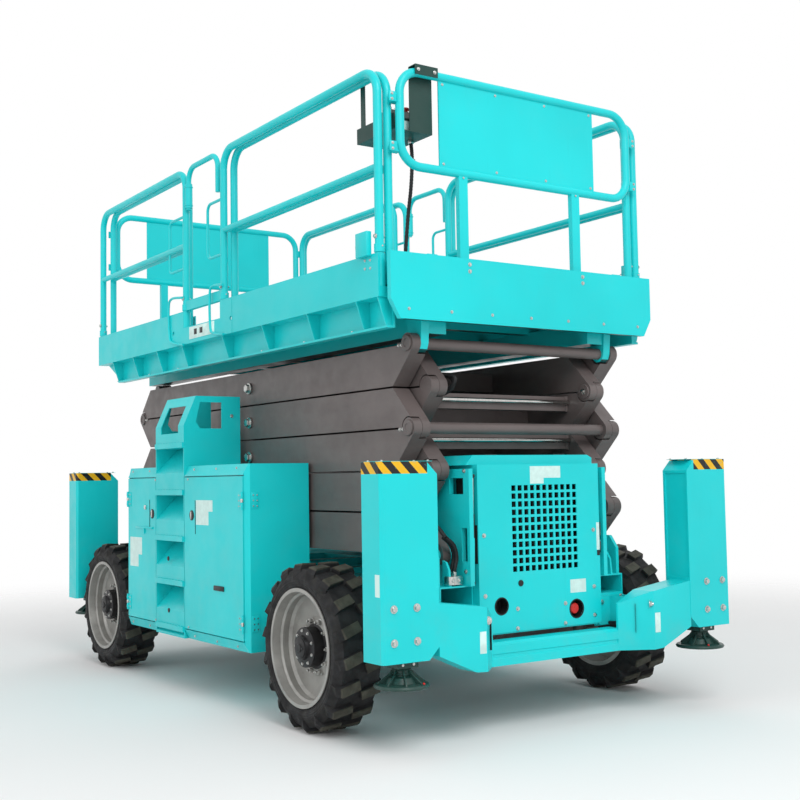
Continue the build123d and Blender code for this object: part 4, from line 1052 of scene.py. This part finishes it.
class LIFT_OT_platform(bpy.types.Operator):
    """Add the deck's tread bars, entry signs and loops, toe-board box, post feet, clamps and screws"""

    bl_idname = "lift.platform"
    bl_label = "Platform"

    def tread(self, name, body, low_x, high_x, level, pitch):
        """Raised bars of a tread plate, each at right angles to its neighbours."""
        piece = Piece(name, body)
        columns = int((high_x - low_x) / (1.6 * pitch))
        rows = int(1.50 / (1.6 * pitch))
        for i in range(columns):
            for j in range(rows):
                centre = Vector((low_x + (i + 0.5) * (high_x - low_x) / columns,
                                 -0.76 + (j + 0.5) * 1.52 / rows, level - 0.0004))
                turn = math.radians(45 if (i + j) % 2 else -45)
                along = Vector((math.cos(turn), math.sin(turn), 0))
                across = Vector((-along.y, along.x, 0))
                piece.plate([centre + u * along + v * across for u, v in (
                    (-0.017, 0), (-0.009, -0.0038), (0.009, -0.0038), (0.017, 0), (0.009, 0.0038),
                    (-0.009, 0.0038))], 0.0022 * UP, "teal_enamel", 0.0006)
        piece.finish()

    def side_fittings(self, piece):
        """What sits along one side of the main platform."""
        face = TOE_FACE_Y
        piece.bolts([(x, face, z) for x, z in (
            (1.630, 2.341), (1.678, 2.337), (1.630, 2.300), (1.678, 2.296))], OUT, 0.0055)
        for x in (-2.113, -0.585, -0.020, 1.722):
            foot = Vector((x, RAIL_Y, 2.450))
            piece.rod(foot - 0.031 * OUT, foot + 0.028 * OUT, 0.0065, sides=14)
            piece.bolt(foot + 0.0225 * OUT, OUT, 0.010)
            piece.lathe(((0.0225, -0.022), (0.0275, -0.020), (0.0275, 0.020), (0.0225, 0.022)),
                        (x, RAIL_Y, 2.392), UP, "teal_enamel", 28)
            piece.rod((x + 0.030, RAIL_Y, 2.400), (x - 0.030, RAIL_Y, 2.400), 0.005, sides=12)
        piece.slab((-0.480, face - 0.0005, 2.172), (-0.110, face + 0.0025, 2.250), "blank_vinyl", 0.0008)
        for x in (-0.405, -0.320):
            piece.slab((x, face + 0.0015, 2.196), (x + 0.042, face + 0.0032, 2.232), "black_plastic", 0.0003)
        for loop in ENTRY_LOOPS:
            piece.pipe([(x, 0.912, z) for x, z in loop], 0.008, "teal_enamel", 12, 5)
        piece.slab((1.585, face - 0.0005, 2.356), (1.692, face + 0.0295, 2.480), "teal_enamel", 0.004)
        piece.ring((1.572, face + 0.010, 2.418), OUT, 0.014, 0.0026, "zinc")
        piece.rod((1.572, face + 0.010, 2.432), (1.590, face + 0.010, 2.432), 0.0045, sides=12)
        for z in (3.060, 3.180):
            piece.lathe(((0.0245, -0.005), (0.0275, -0.003), (0.0275, 0.003), (0.0245, 0.005)),
                        (-0.540, RAIL_Y, z), UP, "teal_enamel")
        piece.bolts([(x, 0.842, 2.0102) for x in (-1.9, -1.3, -0.8, 0.4, 0.9, 1.4)], UP, 0.007)

    def end_panel(self, end, turn, face, low_z):
        """The screws and clips of an extension's end panel, whose tube frame is set back a little."""
        frame_x = face - 0.055
        panel = Piece(f"{end}_panel_fasteners", f"{end}_extension", (turn, 1, 1))
        panel.bolts([(face, y, low_z) for y in spread(-0.78, 0.78, 7)], AHEAD, 0.0062)
        for y in (-0.400, 0.372):
            panel.bolts([(face, y, z) for z in (2.300, 2.335)], AHEAD, 0.008)
            panel.bolts([(frame_x + 0.015, y, z) for z in (2.245, 2.790)], AHEAD, 0.006, washer=False)
        panel.bolts([(frame_x + 0.004, y, z) for y in (-0.515, -0.17, 0.17, 0.497) for z in (2.85, 3.262)],
                    AHEAD, 0.0055)
        for _, side in HANDS:
            panel.mirror = (turn, side, 1)
            for z in (3.150, 2.900):
                panel.slab((frame_x + 0.0035, 0.800, z - 0.025), (frame_x + 0.0095, 0.846, z + 0.025),
                           "teal_enamel", 0.001)
                panel.bolts([(frame_x + 0.0095, 0.829, z + shift) for shift in (-0.014, 0.014)],
                            AHEAD, 0.0058)
            panel.slab((face - 0.030, 0.60, 2.3646), (face - 0.002, 0.66, 2.369), "teal_enamel", 0.001)
        panel.finish()

    def execute(self, context):
        pitch = context.scene.lift_fitting.tread_pitch
        front_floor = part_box("front_extension_deck")[0].x + 0.03
        self.tread("tread_front_extension", "front_extension", front_floor, 1.74, 2.222, pitch)
        self.tread("tread_rear_extension", "rear_extension", -2.06, -0.66, 2.222, pitch)
        self.tread("tread_main_deck", "platform", -0.60, -0.06, 2.203, pitch)
        piece = Piece("platform_fasteners", "platform")
        for _, side in HANDS:
            piece.mirror = (1, side, 1)
            self.side_fittings(piece)
        piece.finish()
        self.end_panel("front", 1, 1.827, 2.085)
        self.end_panel("rear", -1, 2.139, 2.260)
        return {"FINISHED"}


class LIFT_OT_controls(bpy.types.Operator):
    """Add the controller's joystick, stop button, switches and plates, and its corrugated cable"""

    bl_idname = "lift.controls"
    bl_label = "Controls"

    def execute(self, context):
        piece = Piece("controller_fittings", "front_extension")
        stick, stop, top = Vector((1.565, -0.705, 3.130)), Vector((1.625, -0.640, 3.130)), 3.130
        for low, high, material, edge in (
                ((1.526, -0.752, 3.1275), (1.654, -0.608, 3.1305), "black_plastic", 0.001),
                ((1.545, -0.660, top), (1.561, -0.644, 3.1345), "blank_vinyl", 0.001),
                ((1.545, -0.636, top), (1.561, -0.620, 3.1345), "blank_vinyl", 0.001),
                ((1.60, -0.70, top), (1.618, -0.668, 3.1325), "blank_vinyl", 0.0006),
                ((1.5445, -0.757, 3.040), (1.652, -0.7605, 3.100), "blank_vinyl", 0.0006),
                ((1.6995, -0.735, 3.020), (1.7008, -0.625, 3.066), "blank_vinyl", 0.0004)):
            piece.slab(low, high, material, edge)
        piece.lathe(((0.028, 0.0), (0.028, 0.004), (0.023, 0.012), (0.016, 0.021), (0.010, 0.026),
                     (0.003, 0.026)), stick, UP, "hose_rubber", 28)
        piece.rod(stick + 0.020 * UP, stick + 0.066 * UP, 0.006, "dark_casting", 14)
        piece.lathe(((0.006, -0.028), (0.014, -0.022), (0.0165, -0.004), (0.0155, 0.012), (0.010, 0.018),
                     (0.003, 0.019)), stick + 0.076 * UP, UP, "black_plastic")
        piece.lathe(((0.016, 0.0), (0.016, 0.007), (0.011, 0.008), (0.011, 0.014), (0.019, 0.016),
                     (0.0195, 0.026), (0.015, 0.030), (0.003, 0.031)), stop, UP, "stop_red", 28)
        piece.rod(stop + 0.0002 * UP, stop + 0.0035 * UP, 0.022, "hazard_yellow", 28)
        for y, lean in ((-0.735, 0.004), (-0.712, -0.004), (-0.689, 0.004), (-0.666, -0.004)):
            piece.rod((1.632, y, top), (1.632, y, 3.135), 0.007, sides=14)
            piece.rod((1.632, y, 3.134), (1.632 + lean, y, 3.149), 0.0024, sides=10)
        piece.bolts([(x, y, 3.0038) for x in (1.42, 1.72) for y in (-0.7835, -0.572)], UP, 0.0055)
        piece.bolts([(1.8028, y, 3.305) for y in (-0.68, -0.58)], AHEAD, 0.007)
        piece.bolt((1.46, -0.8428, 3.327), UP, 0.004, washer=False)
        piece.rod((1.610, -0.600, 2.982), (1.610, -0.600, 3.0005), 0.017, sides=6)
        piece.finish()

        cable = Piece("control_cable", "front_extension")
        cable.pipe(((1.610, -0.600, 2.990), (1.618, -0.600, 2.900), (1.606, -0.601, 2.760),
                    (1.576, -0.602, 2.610), (1.548, -0.603, 2.420), (1.536, -0.604, 2.235)),
                   0.0105, sides=12, steps=18, ribs=0.14)
        cable.lathe(((0.0105, -0.010), (0.0160, -0.008), (0.0160, 0.008), (0.0105, 0.010)),
                    (1.618, -0.600, 2.890), UP, "black_plastic", 20)
        cable.rod((1.536, -0.604, 2.2215), (1.536, -0.604, 2.245), 0.019, sides=6)
        cable.finish()
        return {"FINISHED"}


class LIFT_OT_underside(bpy.types.Operator):
    """Add the drive shaft, steering cylinder, differential bolts, brackets, lines and tank cap"""

    bl_idname = "lift.underside"
    bl_label = "Underside"

    def drive_line(self, hose_radius):
        """The drive shaft, steering cylinder, axle bolts and hydraulic lines."""
        piece = Piece("drive_line", "chassis")
        piece.rod((REAR_AXLE_X + 0.16, 0, AXLE_Z), (FRONT_AXLE_X - 0.16, 0, AXLE_Z), 0.032,
                  "dark_casting", 24)
        for x in (REAR_AXLE_X + 0.12, -0.30, 0.20, FRONT_AXLE_X - 0.22):
            piece.rod((x, 0, AXLE_Z), (x + 0.10, 0, AXLE_Z), 0.052, "dark_casting", 24, 0.006)
        piece.slab((-0.30, -0.14, 0.330), (0.20, 0.14, 0.560), "dark_casting", 0.02)
        piece.rod((-0.05, 0, 0.545), (-0.05, 0, 0.620), 0.05, "dark_casting", 20)
        steer_x, steer_z = FRONT_AXLE_X - 0.130, AXLE_Z - 0.045
        piece.rod((steer_x, -0.27, steer_z), (steer_x, 0.27, steer_z), 0.034, "arm_dark", 24, 0.004)
        piece.rod((steer_x, -0.43, steer_z), (steer_x, 0.43, steer_z), 0.016, "chrome_rod", 20)
        piece.slab((FRONT_AXLE_X - 0.150, -0.06, AXLE_Z - 0.06), (FRONT_AXLE_X - 0.06, 0.06, AXLE_Z),
                   "arm_dark", 0.004)
        for _, side in HANDS:
            piece.mirror = (1, side, 1)
            for x in (FRONT_AXLE_X, REAR_AXLE_X):
                centre = Vector((x, 0.187, AXLE_Z))
                piece.bolts([centre + 0.084 * spoke for spoke in spokes(12)], OUT, 0.007)
                piece.bolts([(x + dx, y, 0.4955) for dx in (-0.06, 0.06) for y in (0.455, 0.505)], UP, 0.0095)
            piece.pipe([(FRONT_AXLE_X - back, y, AXLE_Z + rise) for back, y, rise in (
                (0.130, 0.22, -0.012), (0.16, 0.24, 0.05), (0.28, 0.33, 0.16), (0.50, 0.37, 0.20))],
                hose_radius)
            for shift in (0.0, 0.026, 0.052):
                piece.pipe([(x, y - shift, z) for x, y, z in (
                    (-1.55, 0.36, 0.640), (-0.60, 0.37, 0.606), (0.20, 0.365, 0.606), (1.00, 0.37, 0.606),
                    (1.55, 0.36, 0.640))], 0.8 * hose_radius, sides=8)
        piece.finish()

    def tank(self):
        """The tank's cap and straps, and the engine's valve covers and pipe."""
        tank = Piece("tank_fittings", "chassis")
        tank.lathe(((0.038, -0.002), (0.038, 0.016), (0.046, 0.018), (0.046, 0.036), (0.040, 0.040),
                    (0.004, 0.040)), (0.28, -0.925, 0.898), UP, "black_plastic", 28)
        for x in (0.10, 0.46):
            tank.slab((x - 0.02, -1.064, 0.345), (x + 0.02, -0.786, 0.350), "zinc", 0.001)
            tank.slab((x - 0.02, -1.064, 0.346), (x + 0.02, -1.060, 0.872), "zinc", 0.001)
        for x in spread(0.06, 0.50, 6):
            tank.slab((x - 0.025, 0.86, 0.996), (x + 0.025, 0.96, 1.012), "arm_dark", 0.004)
            tank.bolt((x, 0.91, 1.0115), UP, 0.008)
        tank.rod((0.52, 0.90, 0.620), (0.575, 0.90, 0.620), 0.09, "dark_casting", 32, 0.006)
        tank.pipe(((0.50, 0.98, 0.93), (0.54, 1.02, 0.90), (0.545, 1.02, 0.70), (0.50, 0.99, 0.60)), 0.016,
                  sides=12, ribs=0.1)
        tank.finish()

    def execute(self, context):
        self.drive_line(context.scene.lift_fitting.hose_radius)
        self.tank()
        return {"FINISHED"}


# ---------------------------------------------------------------- studio


def floor_material(clear, radius):
    """A pale floor, solid under the lift, that thins out to nothing before the horizon."""
    shade = Shade("studio_floor", roughness=0.9, specular=0.1)
    shade.colour(shade.mix(shade.noise(0.4, 2), (0.86, 0.86, 0.86, 1), (0.90, 0.90, 0.90, 1)))
    spread = shade.distance((0, 0, 0), (1, 1, 0))
    shade.link(shade.ramp(spread, radius, clear), shade.shader.inputs["Alpha"])
    shade.bump(shade.noise(60, 3), 0.0005, 0.2)
    return shade.material


class LIFT_OT_studio(bpy.types.Operator):
    """Add the camera, the floor, the soft lights and the white surroundings"""

    bl_idname = "lift.studio"
    bl_label = "Studio"

    def execute(self, context):
        look = context.scene.lift_studio
        scene = context.scene
        scene.view_settings.view_transform = "Standard"
        forward = Vector((-math.sin(look.yaw) * math.cos(look.pitch),
                          math.cos(look.yaw) * math.cos(look.pitch), math.sin(look.pitch)))
        right = Vector((math.cos(look.yaw), math.sin(look.yaw), 0))
        up = right.cross(forward)
        turn = Matrix((right, up, -forward)).transposed() @ Matrix.Rotation(-look.roll, 3, "Z").transposed()
        camera_data = bpy.data.cameras.new("studio_camera")
        camera_data.lens = look.lens
        camera_data.sensor_width = 36
        camera = bpy.data.objects.new("studio_camera", camera_data)
        camera.matrix_world = Matrix.Translation(look.eye) @ turn.to_4x4()
        scene.collection.objects.link(camera)
        scene.camera = camera

        disc = bmesh.new()
        bmesh.ops.create_circle(disc, cap_ends=True, radius=look.floor_radius, segments=96,
                                matrix=Matrix.Translation((0, 0, CAD_BOX[0][2])))
        floor_mesh = bpy.data.meshes.new("studio_floor")
        disc.to_mesh(floor_mesh)
        disc.free()
        floor_mesh.materials.append(floor_material(look.floor_clear, look.floor_radius))
        floor = bpy.data.objects.new("studio_floor", floor_mesh)
        scene.collection.objects.link(floor)

        world = bpy.data.worlds.new("studio_world")
        scene.world = world
        world.use_nodes = True
        tree = world.node_tree
        tree.nodes.clear()
        path = tree.nodes.new("ShaderNodeLightPath")
        seen = path.outputs["Is Camera Ray"]
        for kind in ("Is Glossy Ray", "Is Transmission Ray"):
            either = tree.nodes.new("ShaderNodeMath")
            either.operation = "MAXIMUM"
            tree.links.new(seen, either.inputs[0])
            tree.links.new(path.outputs[kind], either.inputs[1])
            seen = either.outputs["Value"]
        levels = []
        for strength in (look.sky_level, 1.0):
            background = tree.nodes.new("ShaderNodeBackground")
            background.inputs["Color"].default_value = (1, 1, 1, 1)
            background.inputs["Strength"].default_value = strength
            levels.append(background.outputs["Background"])
        blend = tree.nodes.new("ShaderNodeMixShader")
        out = tree.nodes.new("ShaderNodeOutputWorld")
        tree.links.new(seen, blend.inputs["Fac"])
        tree.links.new(levels[0], blend.inputs[1])
        tree.links.new(levels[1], blend.inputs[2])
        tree.links.new(blend.outputs["Shader"], out.inputs["Surface"])

        lamps = (
            ("key_light", (7.5, -2.0, 7.0), 5.0, look.key_power),
            ("side_light", (1.0, -9.0, 5.0), 6.0, look.fill_power),
            ("rim_light", (-8.0, 6.0, 7.5), 6.0, look.fill_power),
        )
        for name, place, size, power in lamps:
            data = bpy.data.lights.new(name, "AREA")
            data.shape = "DISK"
            data.size = size
            data.energy = power
            lamp = bpy.data.objects.new(name, data)
            lamp.location = place
            aim = Vector((0, 0, 1.4)) - Vector(place)
            lamp.rotation_euler = aim.to_track_quat("-Z", "Y").to_euler()
            scene.collection.objects.link(lamp)
        return {"FINISHED"}


# ---------------------------------------------------------------- panel


class LIFT_PT_panel(bpy.types.Panel):
    """Sidebar panel with the settings and one button for each group of pieces"""

    bl_label = "Scissor Lift"
    bl_idname = "LIFT_PT_panel"
    bl_space_type = "VIEW_3D"
    bl_region_type = "UI"
    bl_category = "Scissor Lift"

    def draw(self, context):
        layout = self.layout
        for name, group in SETTINGS:
            box = layout.box()
            settings = getattr(context.scene, name)
            for key in group.__annotations__:
                box.prop(settings, key)
        for operator in BUILD_ORDER:
            layout.operator(operator.bl_idname)


BUILD_ORDER = (
    LIFT_OT_finishes, LIFT_OT_wheels, LIFT_OT_outriggers, LIFT_OT_front_module, LIFT_OT_scissor,
    LIFT_OT_pods, LIFT_OT_platform, LIFT_OT_controls, LIFT_OT_underside, LIFT_OT_studio,
)
SETTINGS = (("lift_finish", LiftFinishSettings), ("lift_fitting", LiftFittingSettings),
            ("lift_studio", LiftStudioSettings))


def register():
    for name, group in SETTINGS:
        bpy.utils.register_class(group)
        setattr(bpy.types.Scene, name, PointerProperty(type=group))
    for operator in BUILD_ORDER:
        bpy.utils.register_class(operator)
    bpy.utils.register_class(LIFT_PT_panel)


def unregister():
    bpy.utils.unregister_class(LIFT_PT_panel)
    for operator in reversed(BUILD_ORDER):
        bpy.utils.unregister_class(operator)
    for name, group in reversed(SETTINGS):
        delattr(bpy.types.Scene, name)
        bpy.utils.unregister_class(group)


def main():
    register()
    bpy.ops.lift.finishes()
    bpy.ops.lift.wheels()
    bpy.ops.lift.outriggers()
    bpy.ops.lift.front_module()
    bpy.ops.lift.scissor()
    bpy.ops.lift.pods()
    bpy.ops.lift.platform()
    bpy.ops.lift.controls()
    bpy.ops.lift.underside()
    bpy.ops.lift.studio()


if __name__ == "__main__":
    main()
